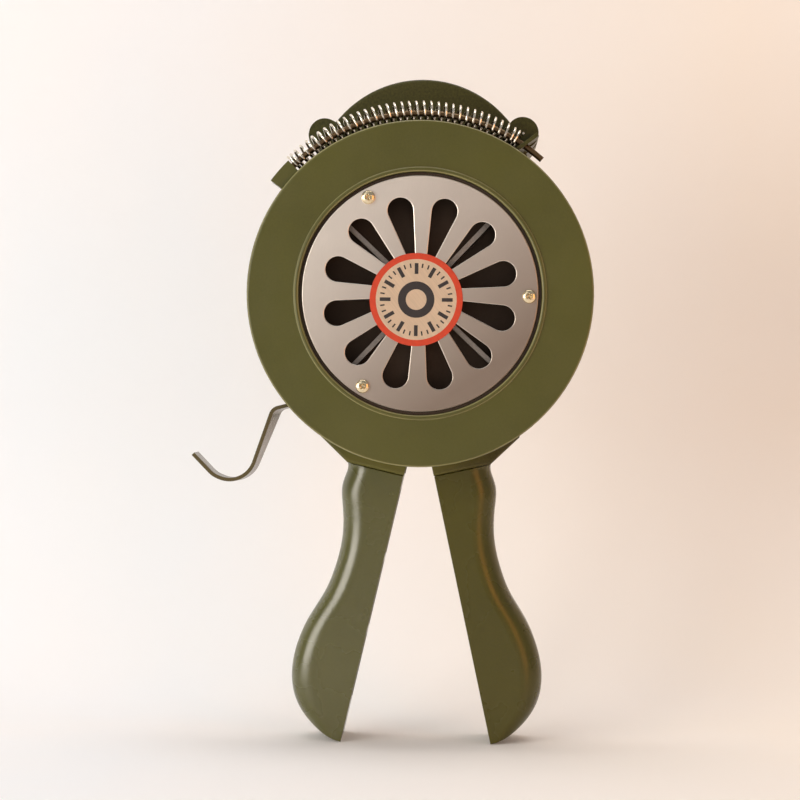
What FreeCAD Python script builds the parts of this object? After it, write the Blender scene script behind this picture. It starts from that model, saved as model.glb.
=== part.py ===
import FreeCAD, Part
import math
import os
from FreeCAD import Placement, Rotation, Vector

# Hand crank siren.  Millimetres, +Z up, the grille faces -Y and +X is to its right.
# The origin lies on the rotor axis, in the plane of the front flange's face.
# The rotor, stator, shutter, gears and crank all turn about axes that run along Y.

# ---------------------------------------------------------------- driving dimensions
# clearances
RUNNING = 0.06           # radial, shaft in bearing or bush
SLIDING = 0.1            # radial, the shutter's bore on the stator's nose
BODY_GAP = 0.4           # between pieces that move past each other
STOP_GAP = 0.3           # between a leg and its stops
ROOT = 1.0               # how deep a boss or rib runs into what carries it
OVERRUN = 1.0            # how far a cut passes the face that it opens
BLIND_SKIN = 1.5         # left in front of a blind bore in the housing's plate

# shutter: front flange and ported skirt, turned by the thumb lever
FLANGE_R = 70.5
FLANGE_T = 2.6
FLANGE_EDGE_R = 0.9
BORE_R = 49.4
BEAD_R = 1.0             # rounded bead round the flange's bore
BEAD_PROUD = 1.0
FLANGE_OVERHANG = 8.0    # the flange's rim beyond the skirt
SKIRT_WALL = 2.5
SHUTTER_TRAVEL = 15.0    # degrees, open to shut

# stator: fixed ported drum behind the grille
STATOR_WALL = 3.0
STATOR_PLATE_T = 3.0
STATOR_FLANGE_T = 2.4
STATOR_FLANGE_REACH = 5.9  # the rear flange beyond the stator's wall
DRUM_DEPTH = 30.0        # from the flange's face to the housing's plate

# sound ports, the same in rotor, stator and shutter
PORTS = 8
PORT_ANGLE = 14.0
PORT_FRONT = 11.0
PORT_BACK_WALL = 3.0     # the rotor's rim behind its ports

# grille
GRILLE_GAP = 1.4         # dark ring between the grille and the flange's bore
GRILLE_T = 1.2
GRILLE_RECESS = 0.6      # below the flange's face
GRILLE_TURN = -1.0       # degrees, the hole pattern's turn
SLOTS = 12
SLOT_END_R = 5.2
SLOT_MARGIN = 1.1        # slot's outer end to the opening behind it
SLOT_ROOT_R = 1.5
SLOT_ROOT_AT = 15.0
GRILLE_SCREWS = 3
GRILLE_SCREW_INSET = 3.7  # screw's centre to the grille's edge
GRILLE_SCREW_LENGTH = 7.2
GRILLE_SCREW_LAND = 3.3  # screw's centre to the opening's edge
GRILLE_BOSS = 5.0        # screw boss behind the stator's plate
SCREW_BOSS_WALL = 2.2
BADGE_R = 18.9
BADGE_T = 0.4
BADGE_X = -1.5           # the disc is stuck on a little off centre
BADGE_Z = -2.5

# rotor
ROTOR_GAP = 0.7          # rotor rim to stator wall
ROTOR_RIM_T = 2.0
ROTOR_FRONT = 9.0
ROTOR_BACK_GAP = 3.0     # the rotor's disc to the housing's plate
ROTOR_DISC_T = 2.0
ROTOR_HUB_R = 10.0
VANES = 8
VANE_T = 2.0
VANE_ROOT_R = 9.0
VANE_FRONT = 13.0
VANE_TURN = 2.0          # degrees, the vanes' turn from the ports' lands
ROTOR_SHAFT_R = 4.0
ROTOR_COLLAR = 2.0       # radial, spacer collar on the shaft
ROTOR_NUT_R = 6.5
ROTOR_NUT_T = 5.0

# housing: plate, gear case, fork for the legs
PLATE_T = 4.0
HOUSING_RIM = 0.5        # the housing's plate beyond the stator's flange
CASE_WALL = 3.2
CASE_ROOM = 5.2          # behind the rear gears, to the cover
GEAR_ROOM = 1.95         # radial, idler gear to the case's wall
DOME_ROOM = 9.05         # radial, crank gear to the dome's wall
CRANK_INSET = 21.0       # crank axis inside the housing's radius
FLOOR_WALL = 7.6         # between the gear space and the fork's bay
LUG_R = 7.0
LUG_ANGLE = 58.6         # degrees, up from the horizontal on each side
LUG_OUTSET = 13.0        # lug's axis outside the housing's radius
LUG_PROUD = 3.0          # the lugs' front ends, ahead of the plate
LUG_STEP = 0.4           # the front ends are that much smaller in radius
RIGHT_LUG_PROUD = 14.0
EAR_REACH = 0.62         # the ears run in to this share of the lugs' distance from the crank axis
COVER_T = 3.0
COVER_SCREW_GRIP = 10.0  # thread in the housing
STATOR_SCREW_GRIP = 3.0
COVER_SCREW_ANGLE = 40.3  # degrees, the lower pair of cover screws, down from the horizontal
COVER_SCREW_INSET = 5.7  # inside the housing's radius
HOUSING_EDGE_R = 1.2
COVER_RIBS = (30, 90, 150, 210, 330)
COVER_RIB_REACH = 14.0   # rib ends, short of the dome's edge
COVER_RIB_W = 1.6
COVER_RIB_H = 2.4
BOSS_FLARE = 4.0
PAD_R = 18.0             # raised pad on the cover, over the rotor's end
PAD_TAPER = 3.0
PAD_T = 1.6
PAD_Z = -18.0

# gears; their module follows from the room in the housing
CRANK_TEETH = 66
PINION_TEETH = 12
IDLER_TEETH = 54
GEAR_T = 6.0
PRESSURE_ANGLE = 25.0
ADDENDUM = 0.85          # in modules
DEDENDUM = 1.15          # in modules
BACKLASH = 0.16          # off each tooth's thickness
LAYER_GAP = 1.5          # between the two gear layers
BEARING_R = 8.0
BEARING_T = 5.0
BEARING_SPACE = 0.6      # before, between and behind the rotor's two bearings
BOSS_WALL = 3.0
IDLER_PIN_R = 4.0
PINION_OVERHANG = 0.5    # the idler pinion's end behind the crank gear
CRANK_RIM = 5.0          # radial, the crank gear's full-thickness rim
CRANK_HUB = 6.0          # radial, its full-thickness hub
WEB_RECESS = 1.5

# crank
CRANK_SHAFT_R = 6.0
CRANK_LENGTH = 60.0
BUSH_WALL = 2.5
BUSH_FLANGE_T = 1.0
FRONT_BOSS = 5.0         # front bush's boss behind the housing's plate
COVER_BOSS = 6.0         # stands out of the cover
BUSH_FLANGE = 2.0        # radial
CRANK_COLLAR = 3.0       # radial
ARM_T = 6.0
ARM_HUB_R = 12.0
ARM_END_R = 9.0
ARM_EDGE_R = 1.5
SPINDLE_R = 3.5
KNOB_LENGTH = 46.0
KNOB_R = 12.0
KNOB_NECK_R = 8.0
SPINDLE_HEAD_R = 6.0
SPINDLE_HEAD_T = 2.5
CRANK_NUT_R = 9.0
CRANK_NUT_T = 7.0
CRANK_CAP_T = 2.0        # domed part of the nut

# legs: two half grips on one hinge pin
LEG_SPREAD = 12.6        # degrees each side of upright, when open
PIVOT_INSET = 19.0       # leg pin inside the housing's radius
LEG_PIN_R = 4.0
LEG_LENGTH = 143.5       # pivot to tip
LEG_SHOULDER = 29.0      # pivot to the top of the grip
LEG_INSET = 1.0          # the legs' faces inside the housing's two faces
LEG_CORNER_R = 9.5       # rounding of the grip's outer corners
KNUCKLE_R = 9.0
TANG_WIDTH = 16.0
FORK_WALL = 3.5
FORK_SIDE_WALL = 3.0
FORK_HALF_TOP = 42.0     # half the fork's width at its top
FORK_TOP_RISE = 7.7      # top of the fork's slanting edges inside the housing's radius
CLOSED_GAP = 0.15        # each leg's inner face to the middle plane, when closed
GRIP_WIDTH = 27.7        # one grip at its widest
# outer edge of the grip: (share of the way from shoulder to tip, share of the greatest width)
GRIP_EDGE = ((0.0, 0.883), (0.061, 0.877), (0.114, 0.864), (0.165, 0.798), (0.22, 0.736), (0.285, 0.695),
             (0.36, 0.693), (0.437, 0.726), (0.501, 0.789), (0.567, 0.884), (0.631, 0.958), (0.71, 1.0),
             (0.785, 0.987), (0.85, 0.917), (0.915, 0.756), (0.96, 0.552), (0.986, 0.347), (1.0, 0.07))
CORNER_SHARE = 0.62      # of the local width that a rounded corner may take
GRIP_WALL = 3.6
POCKETS = 3              # lightening pockets in each grip's inner face
POCKET_INSET = 5.2       # pocket's sides, inside the grip's faces
POCKET_START = 6.0       # below the shoulder
POCKET_END = 17.0        # above the tip
RIB_T = 3.0
NOTCH_WALL = 4.0         # fork's front wall below the knuckles
BAY_KNEE = 6.0           # above the shoulder, where the bay's sides turn

# return spring on its curved guide rod
SPRING_TUCK = 1.1        # radial, the coils' inner side behind the flange's rim
SPRING_Y = 8.0
COIL_R = 4.1
WIRE_R = 0.5
COILS = 36
SPRING_FOOT = 2.4        # degrees, from the seat to the first coil
ROD_R = 1.25
ROD_HOLE_GAP = 0.4
ROD_END = 48.6           # degrees
TAB_LOW = 135.4          # degrees
TAB_HIGH = 143.5
TAB_LIP = 2.4            # radial, the tab beyond the rod's centre line
TAB_BACK_LIP = 1.1       # the tab behind the coils' centre line
SEAT_ANGLE = 55.3        # degrees, where the seat's outer face crosses the rod
SEAT_LEAN = 18.8         # degrees, the seat's lean from the radial direction
SEAT_T = 1.6
SEAT_IN = 7.5            # from the rod to the seat's inner end
SEAT_OUT = 6.7           # from the rod to the seat's outer end
SEAT_FRONT_LIP = 0.3     # the seat's front edge ahead of the coils' centre line
SPRING_END_GAP = 0.25    # between the spring's last coil and the tab

# thumb lever: a bent strip, riveted to the skirt
LEVER_T = 1.5
LEVER_WIDTH = 15.0
LEVER_FRONT = 5.0
LEVER_LEAN = 2.2         # how far the strip's back edge leans towards the flange
LEVER_BEND_R = 3.9
LEVER_CURL_R = 10.6
LEVER_ROOT_ANGLE = 224.0
LEVER_FOOT_ANGLE = 235.5
RIVET_R = 1.6
RIVET_HEAD_R = 2.8
RIVET_HEAD_T = 1.2
RIVET_PLACES = (0.27, 0.73)  # shares of the lever's width
# the strip's straight runs (x, z): out to the knee, down the arm, under the thumb, up to the tip
LEVER_RUNS = ((-14.1, -3.7), (-10.9, -32.1), (-13.0, 4.7), (-8.5, 8.7))

# fasteners
M3_R = 1.5
M4_R = 2.0
PAN_M3_R = 2.8
PAN_M3_H = 2.0
PAN_M4_R = 3.9
PAN_M4_H = 2.6
RECESS_W = 0.9
HEAD_CROWN = 0.35        # share of a pan head's height that is domed
HEAD_TOP = 0.62          # its top's share of the head's radius
RECESS_DEPTH = 0.6       # share of the head's height
RECESS_SPAN = 1.1        # share of the head's radius
NUT_CHAMFER = 0.9        # share of a nut's corner radius at its top
STATOR_SCREWS = 4
GUIDE_SCREWS = 3
GUIDE_FIRST = 60.0       # degrees, clear of the tab's and the lever's sweep
GUIDE_HEAD_R = 2.6
GUIDE_HEAD_T = 1.2
GUIDE_RECESS = 0.7
GUIDE_Y = 7.2

# ---------------------------------------------------------------- places that follow
SKIRT_OUT_R = FLANGE_R - FLANGE_OVERHANG
SKIRT_IN_R = SKIRT_OUT_R - SKIRT_WALL
STATOR_R = SKIRT_IN_R - BODY_GAP
STATOR_IN_R = STATOR_R - STATOR_WALL
STATOR_FLANGE_R = STATOR_R + STATOR_FLANGE_REACH
STATOR_FRONT = FLANGE_T + BODY_GAP
STATOR_PLATE_BACK = STATOR_FRONT + STATOR_PLATE_T
STATOR_FLANGE_FRONT = DRUM_DEPTH - STATOR_FLANGE_T
SKIRT_BACK = STATOR_FLANGE_FRONT - BODY_GAP
NOSE_R = BORE_R - SLIDING
GRILLE_R = BORE_R - GRILLE_GAP
GRILLE_BACK = GRILLE_RECESS + GRILLE_T
GRILLE_SCREW_AT = GRILLE_R - GRILLE_SCREW_INSET
STATOR_OPENING_R = GRILLE_SCREW_AT - GRILLE_SCREW_LAND
SLOT_END_AT = STATOR_OPENING_R - SLOT_MARGIN - SLOT_END_R
ROTOR_R = STATOR_IN_R - ROTOR_GAP
ROTOR_BACK = DRUM_DEPTH - ROTOR_BACK_GAP
PORT_BACK = ROTOR_BACK - PORT_BACK_WALL
PORT_PITCH = 360.0 / PORTS
SPRING_R = FLANGE_R - SPRING_TUCK + WIRE_R + COIL_R
TAB_OUT_R = SPRING_R + TAB_LIP
TAB_DEPTH = SPRING_Y + COIL_R + TAB_BACK_LIP
SEAT_FRONT = SPRING_Y - COIL_R - SEAT_FRONT_LIP

# housing's outline, and what stands on it
HOUSING_R = STATOR_FLANGE_R + HOUSING_RIM
CRANK_Z = HOUSING_R - CRANK_INSET
LEG_PIVOT_Z = PIVOT_INSET - HOUSING_R
FORK_TOP_Z = FORK_TOP_RISE - HOUSING_R
LUG_X = (HOUSING_R + LUG_OUTSET) * math.cos(math.radians(LUG_ANGLE))
LUG_Z = (HOUSING_R + LUG_OUTSET) * math.sin(math.radians(LUG_ANGLE))

# gear train: crank gear -> idler pinion, idler gear -> rotor pinion
IDLER_REACH = HOUSING_R - CASE_WALL - GEAR_ROOM
MODULE = IDLER_REACH / ((IDLER_TEETH + PINION_TEETH) / 2 + IDLER_TEETH / 2 + ADDENDUM)
CRANK_CENTRES = MODULE * (CRANK_TEETH + PINION_TEETH) / 2
ROTOR_CENTRES = MODULE * (IDLER_TEETH + PINION_TEETH) / 2
IDLER_Z = (ROTOR_CENTRES ** 2 - CRANK_CENTRES ** 2 + CRANK_Z ** 2) / (2 * CRANK_Z)
IDLER_X = math.sqrt(ROTOR_CENTRES ** 2 - IDLER_Z ** 2)
HUB_BACK = DRUM_DEPTH + 2 * BEARING_T + 3 * BEARING_SPACE
FRONT_LAYER = HUB_BACK + LAYER_GAP
FRONT_LAYER_END = FRONT_LAYER + GEAR_T
REAR_LAYER = FRONT_LAYER_END + LAYER_GAP
REAR_LAYER_END = REAR_LAYER + GEAR_T

# case round the gears
DOME_R = MODULE * (CRANK_TEETH / 2 + ADDENDUM) + DOME_ROOM + CASE_WALL
HOUSING_BACK = REAR_LAYER_END + CASE_ROOM
FRONT_BUSH_BACK = DRUM_DEPTH + PLATE_T + FRONT_BOSS
BUSH_R = CRANK_SHAFT_R + BUSH_WALL
COVER_BACK = HOUSING_BACK + COVER_T
BOSS_BACK = COVER_BACK + COVER_BOSS
ARM_FRONT = BOSS_BACK + BUSH_FLANGE_T + BODY_GAP
ARM_BACK = ARM_FRONT + ARM_T
KNOB_Z = CRANK_Z - CRANK_LENGTH
KNOB_FRONT = ARM_BACK + BODY_GAP
KNOB_BACK = KNOB_FRONT + KNOB_LENGTH
CASE_FLOOR_Z = LEG_PIVOT_Z + KNUCKLE_R + BODY_GAP + FLOOR_WALL
LEG_FRONT = DRUM_DEPTH + LEG_INSET
LEG_BACK = HOUSING_BACK - LEG_INSET
LEG_MIDDLE = (LEG_FRONT + LEG_BACK) / 2
SHOULDER_WIDTH = GRIP_WIDTH * GRIP_EDGE[0][1]


# ---------------------------------------------------------------- helpers
def spot(x, y, z):
    return Vector(x, y, z)


def polar(radius, degrees):
    """The two coordinates of a point on a circle, in the circle's plane."""
    angle = math.radians(degrees)
    return radius * math.cos(angle), radius * math.sin(angle)


def disc(radius, front, back, x=0.0, z=0.0):
    return Part.makeCylinder(radius, back - front, spot(x, front, z), Vector(0, 1, 0))


def tube(outer, inner, front, back, x=0.0, z=0.0):
    return disc(outer, front, back, x, z).cut(disc(inner, front, back, x, z))


def join(shapes):
    """One solid from overlapping or touching shapes."""
    first = shapes[0]
    rest = shapes[1:]
    if not rest:
        return first
    return first.fuse(rest).removeSplitter()


def face_of(edges):
    return Part.Face(Part.Wire(edges))


def lines(corners, y, closed=True):
    places = [spot(x, y, z) for x, z in corners]
    if closed:
        places.append(places[0])
    return [Part.LineSegment(a, b).toShape() for a, b in zip(places, places[1:])]


def prism(corners, front, back):
    return face_of(lines(corners, front)).extrude(Vector(0, back - front, 0))


def arc_edge(radius, start, end, y):
    """Arc about the rotor axis, from one angle to another."""
    places = [polar(radius, a) for a in (start, (start + end) / 2, end)]
    return Part.Arc(*[spot(x, y, z) for x, z in places]).toShape()


def sector(inner, outer, low, high, front, back):
    """Piece of a ring about the rotor axis, between two angles."""
    edges = [
        arc_edge(outer, low, high, front),
        lines([polar(outer, high), polar(inner, high)], front, False)[0],
        arc_edge(inner, high, low, front),
        lines([polar(inner, low), polar(outer, low)], front, False)[0],
    ]
    return face_of(edges).extrude(Vector(0, back - front, 0))


def bar(start, end, radius, front, back):
    """Straight bar with round ends, between two points in the XZ plane."""
    dx = end[0] - start[0]
    dz = end[1] - start[1]
    length = math.hypot(dx, dz)
    nx = -dz / length * radius
    nz = dx / length * radius
    corners = [
        (start[0] + nx, start[1] + nz),
        (end[0] + nx, end[1] + nz),
        (end[0] - nx, end[1] - nz),
        (start[0] - nx, start[1] - nz),
    ]
    ends = [disc(radius, front, back, x, z) for x, z in (start, end)]
    return join([prism(corners, front, back)] + ends)


def turned(shape, degrees, x=0.0, z=0.0):
    """The shape turned about an axis along Y; positive goes from +X towards +Z."""
    result = shape.copy()
    result.rotate(spot(x, 0, z), Vector(0, 1, 0), -degrees)
    return result


def ring_of(shape, count, first=0.0):
    return [turned(shape, first + i * 360.0 / count) for i in range(count)]


def aimed(shape, place, direction):
    """A shape built along +Z, moved so that its +Z looks along a direction."""
    result = shape.copy()
    result.Placement = Placement(place, Rotation(Vector(0, 0, 1), direction))
    return result


def save(name, shape):
    shape.exportStep(os.path.join("parts", name + ".step"))
    box = shape.BoundBox
    print(f"{name}: {len(shape.Solids)} solid(s), {shape.Volume / 1000:.2f} cm3, "
          f"{box.XLength:.1f} x {box.YLength:.1f} x {box.ZLength:.1f} mm")


def largest_edges(shape, y, reach):
    """Edges that lie wholly in one XZ plane and reach at least so far from the rotor axis."""
    chosen = []
    for edge in shape.Edges:
        box = edge.BoundBox
        flat = abs(box.YMin - y) < 0.01 and abs(box.YMax - y) < 0.01
        far = max(math.hypot(v.X, v.Z) for v in edge.Vertexes) > reach
        if flat and far:
            chosen.append(edge)
    return chosen


# ---------------------------------------------------------------- fasteners
def pan_screw(head_r, head_h, shank_r, length):
    """Cross-recess pan head screw along +Z: the head's seat is at z = 0 and the shank goes down."""
    crown = head_h * HEAD_CROWN
    head = Part.makeCylinder(head_r, head_h - crown)
    dome = Part.makeCone(head_r, head_r * HEAD_TOP, crown, spot(0, 0, head_h - crown))
    shank = Part.makeCylinder(shank_r, length, spot(0, 0, -length))
    recess_depth = head_h * RECESS_DEPTH
    reach = head_r * RECESS_SPAN
    slots = [
        Part.makeBox(reach, RECESS_W, recess_depth, spot(-reach / 2, -RECESS_W / 2, head_h - recess_depth)),
        Part.makeBox(RECESS_W, reach, recess_depth, spot(-RECESS_W / 2, -reach / 2, head_h - recess_depth)),
    ]
    return join([head, dome, shank]).cut(join(slots))


def flat_screw(head_r, shank_r, length):
    """Countersunk screw along +Z with its head's face at z = 0."""
    sink = head_r - shank_r
    head = Part.makeCone(shank_r, head_r, sink, spot(0, 0, -sink))
    shank = Part.makeCylinder(shank_r, length - sink, spot(0, 0, -length))
    reach = head_r * RECESS_SPAN
    depth = sink * RECESS_DEPTH
    slot = Part.makeBox(reach, RECESS_W, depth, spot(-reach / 2, -RECESS_W / 2, -depth))
    return join([head, shank]).cut(slot)


def hex_nut(corner_r, height, bore_r):
    """Nut along +Z with its seat at z = 0 and its outer corners chamfered."""
    corners = []
    for i in range(7):
        x, y = polar(corner_r, 60 * i)
        corners.append(spot(x, y, 0))
    body = Part.Face(Part.makePolygon(corners)).extrude(Vector(0, 0, height))
    chamfer = Part.makeCone(corner_r * (2 - NUT_CHAMFER), corner_r * NUT_CHAMFER, height)
    return body.common(chamfer).cut(Part.makeCylinder(bore_r, height))


# ---------------------------------------------------------------- gears
def involute(angle):
    return math.tan(angle) - angle


def gear_outline(teeth, turn, y):
    """Closed outline of a spur gear at its own centre, with one tooth centred on the angle turn."""
    pitch_r = MODULE * teeth / 2
    pressure = math.radians(PRESSURE_ANGLE)
    base_r = pitch_r * math.cos(pressure)
    tip_r = pitch_r + MODULE * ADDENDUM
    root_r = pitch_r - MODULE * DEDENDUM
    half_pitch = math.pi / (2 * teeth) - BACKLASH / (2 * pitch_r)

    def half_width(radius):
        roll = math.acos(min(1.0, base_r / radius))
        return half_pitch + involute(pressure) - involute(roll)

    flank = [root_r, max(base_r, root_r), pitch_r, (pitch_r + tip_r) / 2, tip_r]
    if base_r <= root_r:
        flank = [root_r, pitch_r, (pitch_r + tip_r) / 2, tip_r]
    corners = []
    for i in range(teeth):
        centre = math.radians(turn) + 2 * math.pi * i / teeth
        for radius in flank:
            angle = centre - half_width(radius)
            corners.append((radius * math.cos(angle), radius * math.sin(angle)))
        for radius in reversed(flank):
            angle = centre + half_width(radius)
            corners.append((radius * math.cos(angle), radius * math.sin(angle)))
    return lines(corners, y)


def gear(teeth, front, back, bore_r, x, z, turn):
    blank = face_of(gear_outline(teeth, turn, front)).extrude(Vector(0, back - front, 0))
    blank.translate(spot(x, 0, z))
    return blank.cut(disc(bore_r, front, back, x, z))


# ---------------------------------------------------------------- outlines of the housing
def leg_point(side, out, down):
    """A point of an open leg: out from its inner face, down from the pivot; side is -1 or 1."""
    spread = math.radians(LEG_SPREAD)
    x = out * math.cos(spread) + down * math.sin(spread)
    z = out * math.sin(spread) - down * math.cos(spread)
    return side * x, LEG_PIVOT_Z + z


def fork_outline():
    """The housing's foot: straight sides down to two slanting edges that the legs' shoulders meet."""
    edge = LEG_SHOULDER - STOP_GAP
    right = [(FORK_HALF_TOP, 0.0), (FORK_HALF_TOP, FORK_TOP_Z),
             leg_point(1, SHOULDER_WIDTH, edge), leg_point(1, 0.0, edge)]
    left = [(-x, z) for x, z in reversed(right)]
    return right + left


def case_outline(radius, dome, front, back):
    return join([disc(radius, front, back), disc(dome, front, back, 0, CRANK_Z)])


def lug_ears(front, back):
    """Two ears that carry the upper cover screws, each run towards the crank axis."""
    inner_x = LUG_X * EAR_REACH
    inner_z = CRANK_Z + (LUG_Z - CRANK_Z) * EAR_REACH
    return [bar((side * LUG_X, LUG_Z), (side * inner_x, inner_z), LUG_R, front, back) for side in (-1, 1)]


# ---------------------------------------------------------------- pieces of the housing
def cover_screw_places():
    low_x, low_z = polar(HOUSING_R - COVER_SCREW_INSET, -COVER_SCREW_ANGLE)
    return [(-LUG_X, LUG_Z), (LUG_X, LUG_Z), (-low_x, low_z), (low_x, low_z)]


def seat_outline():
    """The spring's seat: a plate that runs outwards past the rod and leans away from the coils."""
    x, z = polar(SPRING_R, SEAT_ANGLE)
    along_x, along_z = polar(1.0, SEAT_ANGLE - SEAT_LEAN)
    outer = [(x + reach * along_x, z + reach * along_z) for reach in (-SEAT_IN, SEAT_OUT)]
    inner = [(x - SEAT_T * along_z, z + SEAT_T * along_x) for x, z in reversed(outer)]
    return outer + inner


def stator_screw_places():
    at = (STATOR_R + STATOR_FLANGE_R) / 2
    return [polar(at, 45 + i * 360.0 / STATOR_SCREWS) for i in range(STATOR_SCREWS)]


def make_housing():
    front = DRUM_DEPTH
    back = HOUSING_BACK
    body = join([case_outline(HOUSING_R, DOME_R, front, back), prism(fork_outline(), front, back)]
                + lug_ears(front, back))
    body = body.makeFillet(HOUSING_EDGE_R, largest_edges(body, front, HOUSING_R - ROOT))
    lugs = [disc(LUG_R - LUG_STEP, front - LUG_PROUD, front + ROOT, -LUG_X, LUG_Z),
            disc(LUG_R - LUG_STEP, front - RIGHT_LUG_PROUD, front + ROOT, LUG_X, LUG_Z)]
    seat = prism(seat_outline(), SEAT_FRONT, front + ROOT)
    body = join([body, seat] + lugs)

    inside = case_outline(HOUSING_R - CASE_WALL, DOME_R - CASE_WALL, front + PLATE_T, back)
    below = prism([(-HOUSING_R, CASE_FLOOR_Z), (HOUSING_R, CASE_FLOOR_Z),
                   (HOUSING_R, -2 * HOUSING_R), (-HOUSING_R, -2 * HOUSING_R)], front, back)
    body = body.cut(inside.cut(below))

    fork_front = front + FORK_WALL
    fork_back = back - FORK_WALL
    reach = LEG_SHOULDER + KNUCKLE_R
    knee = LEG_SHOULDER - BAY_KNEE
    inner_width = SHOULDER_WIDTH - FORK_SIDE_WALL
    top = LEG_PIVOT_Z + KNUCKLE_R + BODY_GAP
    bay = [(-inner_width, top), (inner_width, top),
           leg_point(1, inner_width, knee), leg_point(1, inner_width, reach),
           leg_point(-1, inner_width, reach), leg_point(-1, inner_width, knee)]
    notch_top = KNUCKLE_R + NOTCH_WALL
    notch = [leg_point(-1, 0, notch_top), leg_point(1, 0, notch_top),
             leg_point(1, 0, reach), leg_point(-1, 0, reach)]
    body = body.cut([prism(bay, fork_front, fork_back), prism(notch, front, back)])

    bosses = [
        disc(BEARING_R + BOSS_WALL, front + ROOT, HUB_BACK),
        disc(BUSH_R + BOSS_WALL, front + ROOT, FRONT_BUSH_BACK, 0, CRANK_Z),
        disc(IDLER_PIN_R + BOSS_WALL, front + ROOT, FRONT_LAYER - BODY_GAP, IDLER_X, IDLER_Z),
    ]
    body = join([body] + bosses)

    holes = [
        disc(BEARING_R, front, HUB_BACK),
        disc(BUSH_R, front + BLIND_SKIN, FRONT_BUSH_BACK, 0, CRANK_Z),
        disc(IDLER_PIN_R, front + BLIND_SKIN, FRONT_LAYER, IDLER_X, IDLER_Z),
        disc(LEG_PIN_R, front + BLIND_SKIN, back, 0, LEG_PIVOT_Z),
    ]
    for x, z in cover_screw_places():
        holes.append(disc(M4_R, back - COVER_SCREW_GRIP - BODY_GAP, back, x, z))
    for x, z in stator_screw_places():
        holes.append(disc(M3_R, front, front + STATOR_SCREW_GRIP + BODY_GAP, x, z))
    holes.append(rod_sweep(ROD_R + ROD_HOLE_GAP, 0, 90))
    return body.cut(holes)


def make_cover():
    front = HOUSING_BACK
    plate = join([case_outline(HOUSING_R, DOME_R, front, COVER_BACK)] + lug_ears(front, COVER_BACK))
    plate = plate.makeFillet(HOUSING_EDGE_R, largest_edges(plate, COVER_BACK, HOUSING_R - ROOT))
    boss_r = BUSH_R + BOSS_WALL
    boss_place = spot(0, COVER_BACK, CRANK_Z)
    boss = Part.makeCone(boss_r + BOSS_FLARE, boss_r, COVER_BOSS, boss_place, Vector(0, 1, 0))
    rib = Part.makeBox(DOME_R - COVER_RIB_REACH, COVER_RIB_H + ROOT, COVER_RIB_W,
                       spot(boss_r - ROOT, COVER_BACK - ROOT, CRANK_Z - COVER_RIB_W / 2))
    ribs = [turned(rib, angle, 0, CRANK_Z) for angle in COVER_RIBS]
    pad = Part.makeCone(PAD_R, PAD_R - PAD_TAPER, PAD_T, spot(0, COVER_BACK, PAD_Z), Vector(0, 1, 0))
    body = join([plate, boss, pad] + ribs)
    holes = [disc(BUSH_R, front, BOSS_BACK, 0, CRANK_Z)]
    for x, z in cover_screw_places():
        holes.append(disc(M4_R, front, COVER_BACK, x, z))
    return body.cut(holes)


def make_cover_screws():
    screw = pan_screw(PAN_M4_R, PAN_M4_H, M4_R, COVER_T + COVER_SCREW_GRIP)
    return [aimed(screw, spot(x, COVER_BACK, z), Vector(0, 1, 0)) for x, z in cover_screw_places()]


def make_stator():
    wall = tube(STATOR_R, STATOR_IN_R, STATOR_FRONT, DRUM_DEPTH)
    plate = tube(STATOR_R, STATOR_OPENING_R, STATOR_FRONT, STATOR_PLATE_BACK)
    nose = tube(NOSE_R, STATOR_OPENING_R, GRILLE_BACK, STATOR_FRONT + ROOT)
    flange = tube(STATOR_FLANGE_R, STATOR_IN_R, STATOR_FLANGE_FRONT, DRUM_DEPTH)
    bosses = [disc(M3_R + SCREW_BOSS_WALL, STATOR_FRONT + ROOT, STATOR_PLATE_BACK + GRILLE_BOSS, x, z)
              for x, z in grille_screw_places()]
    body = join([wall, plate, nose, flange] + bosses)
    holes = ports(STATOR_IN_R, STATOR_R)
    for x, z in grille_screw_places():
        holes.append(disc(M3_R, GRILLE_BACK, GRILLE_RECESS + GRILLE_SCREW_LENGTH + BODY_GAP, x, z))
    for x, z in stator_screw_places():
        place = spot(x, STATOR_FLANGE_FRONT, z)
        holes.append(Part.makeCone(PAN_M3_R, M3_R, PAN_M3_R - M3_R, place, Vector(0, 1, 0)))
        holes.append(disc(M3_R, STATOR_FLANGE_FRONT, DRUM_DEPTH, x, z))
    for angle in guide_angles():
        x, z = polar(STATOR_IN_R - OVERRUN, angle)
        away = Vector(x, 0, z).normalize()
        holes.append(Part.makeCylinder(M3_R, STATOR_WALL + 2 * OVERRUN, spot(x, GUIDE_Y, z), away))
    return body.cut(holes)


def ports(inner, outer):
    """Cuts for the ring of sound ports through a round wall."""
    cuts = []
    for i in range(PORTS):
        middle = (i + 0.5) * PORT_PITCH
        low = middle - PORT_ANGLE / 2
        high = middle + PORT_ANGLE / 2
        cuts.append(sector(inner - OVERRUN, outer + OVERRUN, low, high, PORT_FRONT, PORT_BACK))
    return cuts


def make_stator_screws():
    screw = flat_screw(PAN_M3_R, M3_R, STATOR_FLANGE_T + STATOR_SCREW_GRIP)
    places = [spot(x, STATOR_FLANGE_FRONT, z) for x, z in stator_screw_places()]
    return [aimed(screw, place, Vector(0, -1, 0)) for place in places]


def grille_screw_places():
    return [polar(GRILLE_SCREW_AT, GRILLE_TURN + i * 360.0 / GRILLE_SCREWS) for i in range(GRILLE_SCREWS)]


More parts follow.
